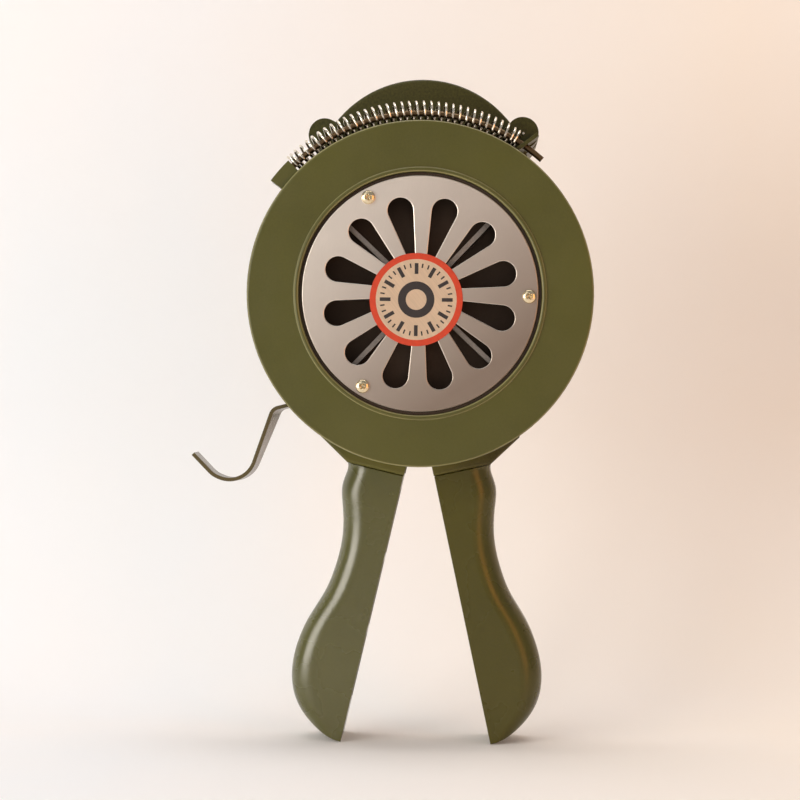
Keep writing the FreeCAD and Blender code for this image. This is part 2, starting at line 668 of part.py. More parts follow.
def slot_hole():
    """One teardrop slot along +X: two round ends and the tangent lines between them."""
    span = SLOT_END_AT - SLOT_ROOT_AT
    lean = math.asin((SLOT_END_R - SLOT_ROOT_R) / span)
    corners = []
    for radius, at, side in ((SLOT_ROOT_R, SLOT_ROOT_AT, 1), (SLOT_END_R, SLOT_END_AT, 1),
                             (SLOT_END_R, SLOT_END_AT, -1), (SLOT_ROOT_R, SLOT_ROOT_AT, -1)):
        corners.append((at - radius * math.sin(lean), side * radius * math.cos(lean)))
    ends = [disc(SLOT_END_R, GRILLE_RECESS, GRILLE_BACK, SLOT_END_AT, 0),
            disc(SLOT_ROOT_R, GRILLE_RECESS, GRILLE_BACK, SLOT_ROOT_AT, 0)]
    return join([prism(corners, GRILLE_RECESS, GRILLE_BACK)] + ends)


def make_grille():
    plate = disc(GRILLE_R, GRILLE_RECESS, GRILLE_BACK)
    holes = ring_of(slot_hole(), SLOTS, GRILLE_TURN + 180.0 / SLOTS)
    for x, z in grille_screw_places():
        holes.append(disc(M3_R, GRILLE_RECESS, GRILLE_BACK, x, z))
    return plate.cut(holes)


def make_grille_screws():
    screw = pan_screw(PAN_M3_R, PAN_M3_H, M3_R, GRILLE_SCREW_LENGTH)
    return [aimed(screw, spot(x, GRILLE_RECESS, z), Vector(0, -1, 0)) for x, z in grille_screw_places()]


def guide_angles():
    return [GUIDE_FIRST + i * 360.0 / GUIDE_SCREWS for i in range(GUIDE_SCREWS)]


def make_guide_screws():
    """Shoulder screws in the stator's wall; they hold the shutter on and end its travel."""
    under_head = SKIRT_OUT_R + BODY_GAP - STATOR_IN_R
    screw = join([Part.makeCylinder(M3_R, under_head),
                  Part.makeCylinder(GUIDE_HEAD_R, GUIDE_HEAD_T, spot(0, 0, under_head))])
    bottom = under_head + GUIDE_HEAD_T - GUIDE_RECESS
    slot = Part.makeBox(2 * GUIDE_HEAD_R, RECESS_W, GUIDE_RECESS, spot(-GUIDE_HEAD_R, -RECESS_W / 2, bottom))
    screw = screw.cut(slot)
    placed = []
    for angle in guide_angles():
        x, z = polar(STATOR_IN_R, angle)
        placed.append(aimed(screw, spot(x, GUIDE_Y, z), Vector(x, 0, z).normalize()))
    return placed


# ---------------------------------------------------------------- shutter
def make_shutter():
    flange = disc(FLANGE_R, 0, FLANGE_T)
    flange = flange.makeFillet(FLANGE_EDGE_R, largest_edges(flange, 0, FLANGE_R - ROOT))
    bead = Part.makeTorus(BORE_R + BEAD_R, BEAD_R, spot(0, BEAD_R - BEAD_PROUD, 0), Vector(0, 1, 0))
    skirt = tube(SKIRT_OUT_R, SKIRT_IN_R, FLANGE_T - ROOT, SKIRT_BACK)
    tab = sector(SKIRT_OUT_R - ROOT, TAB_OUT_R, TAB_LOW, TAB_HIGH, FLANGE_T, TAB_DEPTH)
    body = join([flange.cut(disc(BORE_R, 0, FLANGE_T)), bead, skirt, tab])
    holes = ports(SKIRT_IN_R, SKIRT_OUT_R)
    half_slot = math.degrees((M3_R + BODY_GAP) / SKIRT_IN_R)
    for angle in guide_angles():
        holes.append(sector(SKIRT_IN_R - OVERRUN, SKIRT_OUT_R + OVERRUN,
                            angle - half_slot, angle + SHUTTER_TRAVEL + half_slot,
                            GUIDE_Y - M3_R - BODY_GAP, GUIDE_Y + M3_R + BODY_GAP))
    holes.append(rod_sweep(ROD_R, TAB_LOW - OVERRUN, TAB_HIGH - ROOT))
    for place, away in rivet_places():
        inside = place - away * (SKIRT_WALL + OVERRUN)
        holes.append(Part.makeCylinder(RIVET_R, SKIRT_WALL + 2 * OVERRUN, inside, away))
    return body.cut(holes)


def rod_sweep(radius, low, high):
    """Round bar bent about the rotor axis, between two angles."""
    x, z = polar(SPRING_R, low)
    along = Vector(-z, 0, x).normalize()
    section = Part.Face(Part.Wire(Part.makeCircle(radius, spot(x, SPRING_Y, z), along)))
    return section.revolve(spot(0, 0, 0), Vector(0, 1, 0), low - high)


def make_guide_rod():
    return rod_sweep(ROD_R, ROD_END, TAB_HIGH - ROOT)


def make_spring():
    """Compression spring bent round the guide rod; its half turns are arcs that meet tangentially."""
    low = SEAT_ANGLE + SPRING_FOOT
    high = TAB_LOW - math.degrees((WIRE_R + SPRING_END_GAP) / SPRING_R)
    steps = 2 * COILS
    places = []
    for i in range(steps + 1):
        radius = SPRING_R + (COIL_R if i % 2 == 0 else -COIL_R)
        x, z = polar(radius, low + (high - low) * i / steps)
        places.append(spot(x, SPRING_Y, z))
    edges = []
    for i in range(steps):
        middle = (places[i] + places[i + 1]) * 0.5
        bulge = (places[i + 1] - places[i]).Length / 2
        side = 1 if i % 2 == 0 else -1
        edges.append(Part.Arc(places[i], middle + Vector(0, side * bulge, 0), places[i + 1]).toShape())
    path = Part.Wire(edges)
    section = Part.Wire(Part.makeCircle(WIRE_R, places[0], Vector(0, -1, 0)))
    coil = path.makePipeShell([section], True, True)
    expected = math.pi * WIRE_R ** 2 * path.Length
    print(f"return_spring: volume {coil.Volume:.1f} mm3, section times length {expected:.1f} mm3")
    return coil


# ---------------------------------------------------------------- thumb lever
def offset_corners(points, shift):
    """Corners of the path that runs beside a path at a set distance to its left."""
    moved = []
    for i, (x, z) in enumerate(points):
        before = points[max(i - 1, 0)]
        after = points[min(i + 1, len(points) - 1)]
        ways = []
        for a, b in ((before, (x, z)), ((x, z), after)):
            run = math.hypot(b[0] - a[0], b[1] - a[1])
            if run > 0:
                ways.append((-(b[1] - a[1]) / run, (b[0] - a[0]) / run))
        nx = sum(w[0] for w in ways) / len(ways)
        nz = sum(w[1] for w in ways) / len(ways)
        scale = shift / (nx * nx + nz * nz)
        moved.append((x + nx * scale, z + nz * scale))
    return moved


def rounded_run(points, radii, y):
    """Edges along a path of straight runs whose inner corners are rounded."""
    places = [Vector(x, y, z) for x, z in points]
    edges = []
    start = places[0]
    for corner, after, radius in zip(places[1:-1], places[2:], radii):
        back = (start - corner).normalize()
        ahead = (after - corner).normalize()
        half = back.getAngle(ahead) / 2
        reach = radius / math.tan(half)
        first = corner + back * reach
        last = corner + ahead * reach
        middle = (back + ahead).normalize()
        crown = corner + middle * (radius / math.sin(half) - radius)
        edges.append(Part.LineSegment(start, first).toShape())
        edges.append(Part.Arc(first, crown, last).toShape())
        start = last
    edges.append(Part.LineSegment(start, places[-1]).toShape())
    return edges


def strip_wire(points, bends, y):
    """Closed outline of a bent strip; each bend is (radius of the middle line, 1 if it turns left or -1)."""
    half = LEVER_T / 2
    left = rounded_run(offset_corners(points, half), [r - side * half for r, side in bends], y)
    right = rounded_run(offset_corners(points, -half), [r + side * half for r, side in bends], y)
    ends = [Part.LineSegment(left[-1].Vertexes[-1].Point, right[-1].Vertexes[-1].Point).toShape(),
            Part.LineSegment(right[0].Vertexes[0].Point, left[0].Vertexes[0].Point).toShape()]
    return Part.Wire(Part.__sortEdges__(left + [ends[0]] + right + [ends[1]]))


def lever_path(knee_shift):
    """The strip's middle line in one XZ plane, from its root on the skirt to its tip."""
    path = [polar(SKIRT_OUT_R + LEVER_T / 2, LEVER_ROOT_ANGLE)]
    for run_x, run_z in LEVER_RUNS:
        path.append((path[-1][0] + run_x, path[-1][1] + run_z))
    path[1] = (path[1][0] + knee_shift, path[1][1])
    return path


def make_lever():
    """Foot bent to the skirt, a straight arm outwards and down, and a curl for the thumb."""
    bends = [(LEVER_BEND_R, 1), (LEVER_CURL_R, -1), (LEVER_CURL_R, -1)]
    wires = [strip_wire(lever_path(0.0), bends, LEVER_FRONT),
             strip_wire(lever_path(LEVER_LEAN), bends, LEVER_FRONT + LEVER_WIDTH)]
    arm = Part.makeLoft(wires, True, True)
    foot = sector(SKIRT_OUT_R, SKIRT_OUT_R + LEVER_T, LEVER_ROOT_ANGLE - ROOT / 2, LEVER_FOOT_ANGLE,
                  LEVER_FRONT, LEVER_FRONT + LEVER_WIDTH)
    body = join([foot, arm]).cut(disc(SKIRT_OUT_R, 0, DRUM_DEPTH))
    holes = [Part.makeCylinder(RIVET_R, LEVER_T + 2 * OVERRUN, place - away * OVERRUN, away)
             for place, away in rivet_places()]
    return body.cut(holes)


def rivet_places():
    """Two rivets through the lever's foot, one behind the other, and the way they point."""
    angle = (LEVER_ROOT_ANGLE + 2 + LEVER_FOOT_ANGLE) / 2
    x, z = polar(SKIRT_OUT_R, angle)
    away = Vector(x, 0, z).normalize()
    return [(spot(x, LEVER_FRONT + LEVER_WIDTH * share, z), away) for share in RIVET_PLACES]


def make_rivets():
    """Round heads outside; the inner ends are set flush with the skirt's bore."""
    shank = Part.makeCylinder(RIVET_R, SKIRT_WALL + LEVER_T, spot(0, 0, -SKIRT_WALL))
    head = Part.makeCone(RIVET_HEAD_R, RIVET_HEAD_R * HEAD_TOP, RIVET_HEAD_T, spot(0, 0, LEVER_T))
    rivet = join([shank, head])
    return [aimed(rivet, place, away) for place, away in rivet_places()]


# ---------------------------------------------------------------- rotor and gears
def make_rotor():
    rim = tube(ROTOR_R, ROTOR_R - ROTOR_RIM_T, ROTOR_FRONT, ROTOR_BACK)
    plate = disc(ROTOR_R, ROTOR_BACK - ROTOR_DISC_T, ROTOR_BACK)
    hub = disc(ROTOR_HUB_R, VANE_FRONT, ROTOR_BACK)
    vane = Part.makeBox(ROTOR_R - VANE_ROOT_R - ROOT, ROTOR_BACK - VANE_FRONT, VANE_T,
                        spot(VANE_ROOT_R, VANE_FRONT, -VANE_T / 2))
    body = join([rim, plate, hub] + ring_of(vane, VANES, VANE_TURN))
    holes = ports(ROTOR_R - ROTOR_RIM_T, ROTOR_R)
    holes.append(disc(ROTOR_SHAFT_R, VANE_FRONT, ROTOR_BACK))
    return body.cut(holes)


def make_rotor_shaft():
    front = VANE_FRONT - ROTOR_NUT_T
    collar = disc(ROTOR_SHAFT_R + ROTOR_COLLAR, ROTOR_BACK, DRUM_DEPTH - BODY_GAP)
    return join([disc(ROTOR_SHAFT_R, front, FRONT_LAYER_END), collar])


def make_rotor_nut():
    nut = hex_nut(ROTOR_NUT_R, ROTOR_NUT_T, ROTOR_SHAFT_R)
    return aimed(nut, spot(0, VANE_FRONT, 0), Vector(0, -1, 0))


def make_rotor_bearings():
    """Two sealed ball bearings, side by side in the housing's hub."""
    fronts = [DRUM_DEPTH + BEARING_SPACE, DRUM_DEPTH + 2 * BEARING_SPACE + BEARING_T]
    return [tube(BEARING_R, ROTOR_SHAFT_R + RUNNING, y, y + BEARING_T) for y in fronts]


def direction(x, z):
    return math.degrees(math.atan2(z, x))


def make_crank_gear():
    towards = direction(IDLER_X, IDLER_Z - CRANK_Z)
    wheel = gear(CRANK_TEETH, REAR_LAYER, REAR_LAYER_END, CRANK_SHAFT_R, 0, CRANK_Z, towards)
    rim_r = MODULE * CRANK_TEETH / 2 - CRANK_RIM
    hub_r = CRANK_SHAFT_R + CRANK_HUB
    recesses = [tube(rim_r, hub_r, REAR_LAYER, REAR_LAYER + WEB_RECESS, 0, CRANK_Z),
                tube(rim_r, hub_r, REAR_LAYER_END - WEB_RECESS, REAR_LAYER_END, 0, CRANK_Z)]
    return wheel.cut(recesses)


def make_idler_pinion():
    away = direction(-IDLER_X, CRANK_Z - IDLER_Z)
    return gear(PINION_TEETH, FRONT_LAYER_END, REAR_LAYER_END + PINION_OVERHANG, IDLER_PIN_R + RUNNING,
                IDLER_X, IDLER_Z, away + 180.0 / PINION_TEETH)


def make_idler_gear():
    towards = direction(-IDLER_X, -IDLER_Z)
    return gear(IDLER_TEETH, FRONT_LAYER, FRONT_LAYER_END, IDLER_PIN_R + RUNNING, IDLER_X, IDLER_Z, towards)


def make_rotor_pinion():
    towards = direction(IDLER_X, IDLER_Z)
    turn = towards + 180.0 / PINION_TEETH
    return gear(PINION_TEETH, FRONT_LAYER, FRONT_LAYER_END, ROTOR_SHAFT_R, 0, 0, turn)


def make_idler_pin():
    return disc(IDLER_PIN_R, DRUM_DEPTH + BLIND_SKIN, HOUSING_BACK - BODY_GAP, IDLER_X, IDLER_Z)


# ---------------------------------------------------------------- crank
def make_crank_bushes():
    inner = CRANK_SHAFT_R + RUNNING
    front_bush = tube(BUSH_R, inner, DRUM_DEPTH + BLIND_SKIN, FRONT_BUSH_BACK, 0, CRANK_Z)
    rear_bush = join([tube(BUSH_R, inner, HOUSING_BACK, BOSS_BACK, 0, CRANK_Z),
                      tube(BUSH_R + BUSH_FLANGE, inner, BOSS_BACK, BOSS_BACK + BUSH_FLANGE_T, 0, CRANK_Z)])
    return [front_bush, rear_bush]


def make_crank_shaft():
    end = ARM_BACK + CRANK_NUT_T - CRANK_CAP_T
    shaft = disc(CRANK_SHAFT_R, DRUM_DEPTH + BLIND_SKIN + BODY_GAP, end, 0, CRANK_Z)
    collar = disc(CRANK_SHAFT_R + CRANK_COLLAR, FRONT_BUSH_BACK + BODY_GAP, REAR_LAYER, 0, CRANK_Z)
    return join([shaft, collar])


def make_crank_arm():
    """Flat tapered arm that hangs down from the crank axis."""
    taper = (ARM_HUB_R - ARM_END_R) / CRANK_LENGTH
    lean = math.sqrt(1 - taper ** 2)
    corners = []
    for radius, z, side in ((ARM_HUB_R, CRANK_Z, 1), (ARM_END_R, KNOB_Z, 1), (ARM_END_R, KNOB_Z, -1),
                            (ARM_HUB_R, CRANK_Z, -1)):
        corners.append((side * radius * lean, z - radius * taper))
    body = join([prism(corners, ARM_FRONT, ARM_BACK), disc(ARM_HUB_R, ARM_FRONT, ARM_BACK, 0, CRANK_Z),
                 disc(ARM_END_R, ARM_FRONT, ARM_BACK, 0, KNOB_Z)])
    body = body.makeFillet(ARM_EDGE_R, [e for e in body.Edges if abs(e.BoundBox.YMin - ARM_BACK) < 0.01])
    return body.cut([disc(CRANK_SHAFT_R, ARM_FRONT, ARM_BACK, 0, CRANK_Z),
                     disc(SPINDLE_R, ARM_FRONT, ARM_BACK, 0, KNOB_Z)])


def make_crank_nut():
    hex_height = CRANK_NUT_T - CRANK_CAP_T
    shell = hex_nut(CRANK_NUT_R, hex_height, CRANK_SHAFT_R)
    cap = Part.makeCone(CRANK_NUT_R * 0.8, CRANK_NUT_R * 0.45, CRANK_CAP_T, spot(0, 0, hex_height))
    return aimed(join([shell, cap]), spot(0, ARM_BACK, CRANK_Z), Vector(0, 1, 0))


def make_spindle():
    pin = disc(SPINDLE_R, ARM_FRONT, KNOB_BACK - ROOT, 0, KNOB_Z)
    head = disc(SPINDLE_HEAD_R, KNOB_BACK - SPINDLE_HEAD_T, KNOB_BACK, 0, KNOB_Z)
    return join([pin, head])


def make_knob():
    """Turned grip, narrow at the arm and full towards its end, loose on its spindle."""
    front = KNOB_FRONT
    back = KNOB_BACK
    profile = [(KNOB_NECK_R, 0.0), (KNOB_NECK_R * 0.94, 0.16), (KNOB_R * 0.86, 0.42), (KNOB_R, 0.72),
               (KNOB_R * 0.93, 0.9), (KNOB_R * 0.7, 1.0)]
    points = [spot(r, front + share * KNOB_LENGTH, 0) for r, share in profile]
    curve = Part.BSplineCurve()
    curve.interpolate(points)
    edges = [curve.toShape(),
             Part.LineSegment(points[-1], spot(0, back, 0)).toShape(),
             Part.LineSegment(spot(0, back, 0), spot(0, front, 0)).toShape(),
             Part.LineSegment(spot(0, front, 0), points[0]).toShape()]
    body = face_of(edges).revolve(spot(0, 0, 0), Vector(0, 1, 0), 360)
    body.translate(spot(0, 0, KNOB_Z))
    head_space = disc(SPINDLE_HEAD_R + BODY_GAP, back - SPINDLE_HEAD_T - BODY_GAP, back + OVERRUN, 0, KNOB_Z)
    return body.cut([disc(SPINDLE_R + RUNNING, front - OVERRUN, back + OVERRUN, 0, KNOB_Z), head_space])


# ---------------------------------------------------------------- legs
def grip_section(down, width):
    """Cross section of a half grip: flat inside, and rounded at its two outer corners."""
    corner = min(LEG_CORNER_R, CORNER_SHARE * width)
    root = corner * (1 - math.sqrt(0.5))
    front = LEG_FRONT
    back = LEG_BACK
    z = -down

    def at(out, y):
        return spot(CLOSED_GAP + out, y, z)

    flat = width - corner
    bulge = width - root
    return Part.Wire([
        Part.LineSegment(at(0, back), at(0, front)).toShape(),
        Part.LineSegment(at(0, front), at(flat, front)).toShape(),
        Part.Arc(at(flat, front), at(bulge, front + root), at(width, front + corner)).toShape(),
        Part.LineSegment(at(width, front + corner), at(width, back - corner)).toShape(),
        Part.Arc(at(width, back - corner), at(bulge, back - root), at(flat, back)).toShape(),
        Part.LineSegment(at(flat, back), at(0, back)).toShape(),
    ])


def make_leg(side):
    """Half grip with its tang and hinge knuckle; side is -1 for the left leg and 1 for the right."""
    grip_length = LEG_LENGTH - LEG_SHOULDER
    edge = [(LEG_SHOULDER + grip_length * down, GRIP_WIDTH * width) for down, width in GRIP_EDGE]
    grip = Part.makeLoft([grip_section(down, width) for down, width in edge], True, False)
    half = (HOUSING_BACK - DRUM_DEPTH) / 2 - FORK_WALL
    if side < 0:
        tang_front = LEG_MIDDLE - half + STOP_GAP
        tang_back = LEG_MIDDLE - STOP_GAP / 2
    else:
        tang_front = LEG_MIDDLE + STOP_GAP / 2
        tang_back = LEG_MIDDLE + half - STOP_GAP
    tang = Part.makeBox(TANG_WIDTH, tang_back - tang_front, LEG_SHOULDER + ROOT,
                        spot(CLOSED_GAP, tang_front, -LEG_SHOULDER - ROOT))
    knuckle = disc(KNUCKLE_R, tang_front, tang_back)
    body = join([grip, tang, knuckle])
    pockets = []
    first = LEG_SHOULDER + POCKET_START
    span = (LEG_LENGTH - POCKET_END - first - (POCKETS - 1) * RIB_T) / POCKETS
    for i in range(POCKETS):
        top = first + i * (span + RIB_T)
        near = [width for down, width in edge if top - RIB_T <= down <= top + span + RIB_T]
        depth = min(near) - GRIP_WALL
        pockets.append(Part.makeBox(depth + OVERRUN, LEG_BACK - LEG_FRONT - 2 * POCKET_INSET, span,
                                    spot(CLOSED_GAP - OVERRUN, LEG_FRONT + POCKET_INSET, -top - span)))
    body = body.cut(pockets + [disc(LEG_PIN_R + RUNNING, tang_front, tang_back)])
    body.translate(spot(0, 0, LEG_PIVOT_Z))
    if side < 0:
        body = body.mirror(spot(0, 0, 0), Vector(1, 0, 0))
    return turned(body, side * LEG_SPREAD, 0, LEG_PIVOT_Z)


def make_leg_pin():
    return disc(LEG_PIN_R, DRUM_DEPTH + BLIND_SKIN, HOUSING_BACK - BODY_GAP, 0, LEG_PIVOT_Z)


def make_badge():
    return disc(BADGE_R, GRILLE_RECESS - BADGE_T, GRILLE_RECESS, BADGE_X, BADGE_Z)


# ---------------------------------------------------------------- write the pieces
os.makedirs("parts", exist_ok=True)
PIECES = {
    "housing": make_housing,
    "back_cover": make_cover,
    "stator": make_stator,
    "grille": make_grille,
    "centre_badge": make_badge,
    "shutter_ring": make_shutter,
    "thumb_lever": make_lever,
    "guide_rod": make_guide_rod,
    "return_spring": make_spring,
    "rotor": make_rotor,
    "rotor_shaft": make_rotor_shaft,
    "rotor_nut": make_rotor_nut,
    "rotor_pinion": make_rotor_pinion,
    "idler_pin": make_idler_pin,
    "idler_gear": make_idler_gear,
    "idler_pinion": make_idler_pinion,
    "crank_gear": make_crank_gear,
    "crank_shaft": make_crank_shaft,
    "crank_arm": make_crank_arm,
    "crank_nut": make_crank_nut,
    "knob_spindle": make_spindle,
    "crank_knob": make_knob,
    "leg_pin": make_leg_pin,
}
GROUPS = {
    "cover_screws": make_cover_screws,
    "stator_screws": make_stator_screws,
    "grille_screws": make_grille_screws,
    "shutter_guide_screws": make_guide_screws,
    "lever_rivets": make_rivets,
    "rotor_bearings": make_rotor_bearings,
    "crank_bushes": make_crank_bushes,
}
for piece_name, make in PIECES.items():
    save(piece_name, make())
for group_name, make in GROUPS.items():
    save(group_name, Part.makeCompound(make()))
for side_name, side_sign in (("left", -1), ("right", 1)):
    save(side_name + "_leg", make_leg(side_sign))
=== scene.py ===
# %% [markdown]
# # A hand crank siren, dressed in Blender
# The metal work of this siren comes from a CAD model: castings, gears, screws and joints at their real
# size. This lesson gives it its looks. It loads the model, sets a camera and a small studio, mixes one
# finish for each kind of surface, and then makes the pieces that deserve more detail than a solid has: the
# coil spring, the punched grille, the printed disc and the cross recess screws.
# Everything is in metres, and the origin is on the rotor's axis in the plane of the front flange.

# %% Load the frame
import math
import random

import bmesh
import bpy
from mathutils import Matrix, Vector


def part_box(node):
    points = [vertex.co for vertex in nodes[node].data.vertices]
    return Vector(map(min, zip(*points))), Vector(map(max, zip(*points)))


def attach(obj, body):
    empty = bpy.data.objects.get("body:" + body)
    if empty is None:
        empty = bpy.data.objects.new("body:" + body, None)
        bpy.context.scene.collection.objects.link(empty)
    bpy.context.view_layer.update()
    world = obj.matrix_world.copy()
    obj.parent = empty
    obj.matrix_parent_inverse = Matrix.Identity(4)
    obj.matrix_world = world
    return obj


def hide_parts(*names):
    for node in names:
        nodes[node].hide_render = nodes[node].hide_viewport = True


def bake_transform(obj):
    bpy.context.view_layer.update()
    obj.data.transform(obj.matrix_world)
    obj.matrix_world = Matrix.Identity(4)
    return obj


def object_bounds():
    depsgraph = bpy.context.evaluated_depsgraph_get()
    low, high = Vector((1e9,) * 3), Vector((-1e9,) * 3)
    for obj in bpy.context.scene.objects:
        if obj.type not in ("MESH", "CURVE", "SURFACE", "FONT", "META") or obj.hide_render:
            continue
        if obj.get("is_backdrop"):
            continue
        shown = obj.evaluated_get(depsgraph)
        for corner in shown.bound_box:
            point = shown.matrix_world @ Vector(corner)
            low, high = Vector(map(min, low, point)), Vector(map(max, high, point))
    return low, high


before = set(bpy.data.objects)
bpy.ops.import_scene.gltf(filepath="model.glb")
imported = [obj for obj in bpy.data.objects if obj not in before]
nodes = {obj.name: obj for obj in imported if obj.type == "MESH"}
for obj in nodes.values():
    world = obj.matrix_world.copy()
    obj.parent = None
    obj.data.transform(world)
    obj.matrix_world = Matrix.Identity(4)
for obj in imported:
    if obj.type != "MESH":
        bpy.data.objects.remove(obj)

MM = 0.001
cad_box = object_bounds()
print("nodes:", len(nodes), "lowest point", round(cad_box[0].z / MM, 1), "mm")

# %% [markdown]
# ## The camera
# Close up, a short lens swells whatever is nearest to it. From some distance and through a longish lens,
# the round flange stays round and the two grips keep their true width. So the camera stands 0.9 m in front
# of the flange and a little to its right. It looks level and slightly to the left, and is rolled by less
# than a degree, as a camera held in the hand is. The angle of view follows from the width that is to be
# seen at the flange.

# %% Camera
CAMERA_DISTANCE = 0.900
CAMERA_X = 15.1 * MM
CAMERA_Z = -43.3 * MM
CAMERA_LEVEL = math.radians(90)
CAMERA_ROLL = math.radians(-0.75)
CAMERA_TURN = math.radians(1.44)
SEEN_WIDTH = 324.2 * MM

lens = bpy.data.cameras.new("camera")
lens.sensor_fit = "HORIZONTAL"
lens.angle = 2 * math.atan(SEEN_WIDTH / 2 / CAMERA_DISTANCE)
camera = bpy.data.objects.new("camera", lens)
camera.location = (CAMERA_X, -CAMERA_DISTANCE, CAMERA_Z)
camera.rotation_euler = (CAMERA_LEVEL, CAMERA_ROLL, CAMERA_TURN)
bpy.context.scene.collection.objects.link(camera)
bpy.context.scene.camera = camera
bpy.context.scene.view_settings.view_transform = "Standard"
print("angle of view", round(math.degrees(lens.angle), 1), "degrees")

# %% [markdown]
# ## Light
# The main light is a wide window at the left, level with the siren: it draws the long soft highlight down
# the rounded corner of the left grip, and its light fades towards the right of the backdrop. A narrow
# orange lamp answers it on the other side. A softbox high on the left and one overhead light the upper
# edges and the floor, and an even, white world fills the rest. Lamps are aimed with a track quaternion,
# which is simpler than working out three angles.

# %% Lamps and world
AIM = Vector((0, 0.02, -0.03))
WORLD_STRENGTH = 0.32


def softbox(name, place, width, height, power, colour):
    """A rectangular lamp of this size in metres and power in watts, aimed at the siren."""
    lamp = bpy.data.lights.new(name, "AREA")
    lamp.shape = "RECTANGLE"
    lamp.size = width
    lamp.size_y = height
    lamp.energy = power
    lamp.color = colour
    stand = bpy.data.objects.new(name, lamp)
    stand.location = place
    stand.rotation_mode = "QUATERNION"
    stand.rotation_quaternion = (AIM - Vector(place)).to_track_quat("-Z", "Y")
    bpy.context.scene.collection.objects.link(stand)


softbox("high_softbox", place=(-0.62, -1.25, 0.85), width=0.8, height=0.8, power=1.4,
        colour=(1.0, 0.985, 0.965))
softbox("left_window", place=(-0.86, -0.74, -0.06), width=0.7, height=0.9, power=11.5,
        colour=(1.0, 0.94, 0.86))
softbox("orange_strip", place=(0.73, -0.87, -0.05), width=0.42, height=0.9, power=3.4,
        colour=(1.0, 0.37, 0.07))
softbox("overhead", place=(0.0, 0.05, 1.30), width=1.2, height=0.6, power=8.0, colour=(1.0, 0.99, 0.98))

world = bpy.data.worlds.new("studio")
bpy.context.scene.world = world
world.use_nodes = True
fill = world.node_tree.nodes["Background"]
fill.inputs["Color"].default_value = (1.0, 1.0, 1.0, 1)
fill.inputs["Strength"].default_value = WORLD_STRENGTH

# %% [markdown]
# ## Colours
# A colour is easiest to write as screens do, in steps from 0 to 255. Shaders work in linear light, so each
# step goes back through the screen's curve, which is straight near black and a power above it. Darker and
# lighter tones of a paint are then plain multiples of one colour, which keeps their hue.

# %% Colour helpers
def linear(*steps):
    """A colour as it is written for screens (0 to 255), as the linear values that shaders use."""
    levels = [step / 255 for step in steps]
    return tuple(level / 12.92 if level < 0.04045 else ((level + 0.055) / 1.055) ** 2.4 for level in levels)


def scaled(tone, share):
    """A tone made darker or lighter, and no brighter than white."""
    return tuple(min(1.0, level * share) for level in tone)


print("middle grey of a screen, in linear light:", round(linear(128, 128, 128)[0], 3))

# %% [markdown]
# ## Finishes
# Every finish starts from Blender's Principled shader and gets its life from noise: a broad noise shifts
# the colour, a fine one the gloss and the bump. A noise that is squeezed along one direction turns into the
# lines of brushed metal. Each node takes several lines to make and link, so a small class gives these steps
# short names. The noise is laid out in the object's own metres, which fits all pieces, because they share
# one frame.

# %% The Finish class
class Finish:
    """A new material with short ways to add noise, colour mixing and bump."""

    def __init__(self, name, metallic=0.0):
        self.material = bpy.data.materials.new(name)
        self.material.use_nodes = True
        self.tree = self.material.node_tree
        self.shader = self.tree.nodes["Principled BSDF"]
        self.shader.inputs["Metallic"].default_value = metallic
        self.place = self.node("ShaderNodeTexCoord").outputs["Object"]

    def node(self, kind):
        return self.tree.nodes.new(kind)

    def link(self, source, target):
        self.tree.links.new(source, target)

    def noise(self, scale, detail=3.0, squeeze=None, turn=0.0):
        """Noise with features of about 1/scale metres; squeeze scales its axes and turn tips them in XZ."""
        where = self.place
        if squeeze:
            tip = self.node("ShaderNodeMapping")
            tip.inputs["Rotation"].default_value = (0, turn, 0)
            self.link(where, tip.inputs["Vector"])
            pull = self.node("ShaderNodeMapping")
            pull.inputs["Scale"].default_value = squeeze
            self.link(tip.outputs["Vector"], pull.inputs["Vector"])
            where = pull.outputs["Vector"]
        noise = self.node("ShaderNodeTexNoise")
        noise.inputs["Scale"].default_value = scale
        noise.inputs["Detail"].default_value = detail
        self.link(where, noise.inputs["Vector"])
        return noise.outputs["Fac"]

    def span(self, value, low, high, from_low=0.3, from_high=0.7):
        """A value from one range spread over another; noise mostly lies between 0.3 and 0.7."""
        spread = self.node("ShaderNodeMapRange")
        spread.inputs["From Min"].default_value = from_low
        spread.inputs["From Max"].default_value = from_high
        spread.inputs["To Min"].default_value = low
        spread.inputs["To Max"].default_value = high
        self.link(value, spread.inputs["Value"])
        return spread.outputs["Result"]

    def mix(self, share, first, second):
        """Two colours, or colour outputs, mixed by a share from 0 to 1."""
        blend = self.node("ShaderNodeMix")
        blend.data_type = "RGBA"
        self.link(share, blend.inputs["Factor"])
        for socket, colour in ((blend.inputs["A"], first), (blend.inputs["B"], second)):
            if isinstance(colour, tuple):
                socket.default_value = (*colour, 1)
            else:
                self.link(colour, socket)
        return blend.outputs["Result"]

    def arithmetic(self, operation, first, second=0.0):
        """One step of arithmetic on outputs or plain numbers."""
        step = self.node("ShaderNodeMath")
        step.operation = operation
        for socket, value in zip(step.inputs, (first, second)):
            if isinstance(value, float):
                socket.default_value = value
            else:
                self.link(value, socket)
        return step.outputs["Value"]

    def colour(self, output):
        self.link(output, self.shader.inputs["Base Color"])

    def roughness(self, output):
        self.link(output, self.shader.inputs["Roughness"])

    def bump(self, heights, normal=None):
        """Bumps from (height output, depth in metres) pairs, laid one over the other."""
        for height, depth in heights:
            bump = self.node("ShaderNodeBump")
            bump.inputs["Strength"].default_value = 1.0
            bump.inputs["Distance"].default_value = depth
            self.link(height, bump.inputs["Height"])
            if normal is not None:
                self.link(normal, bump.inputs["Normal"])
            normal = bump.outputs["Normal"]
        self.link(normal, self.shader.inputs["Normal"])


print("a finish can:", [name for name in vars(Finish) if not name.startswith("_")])

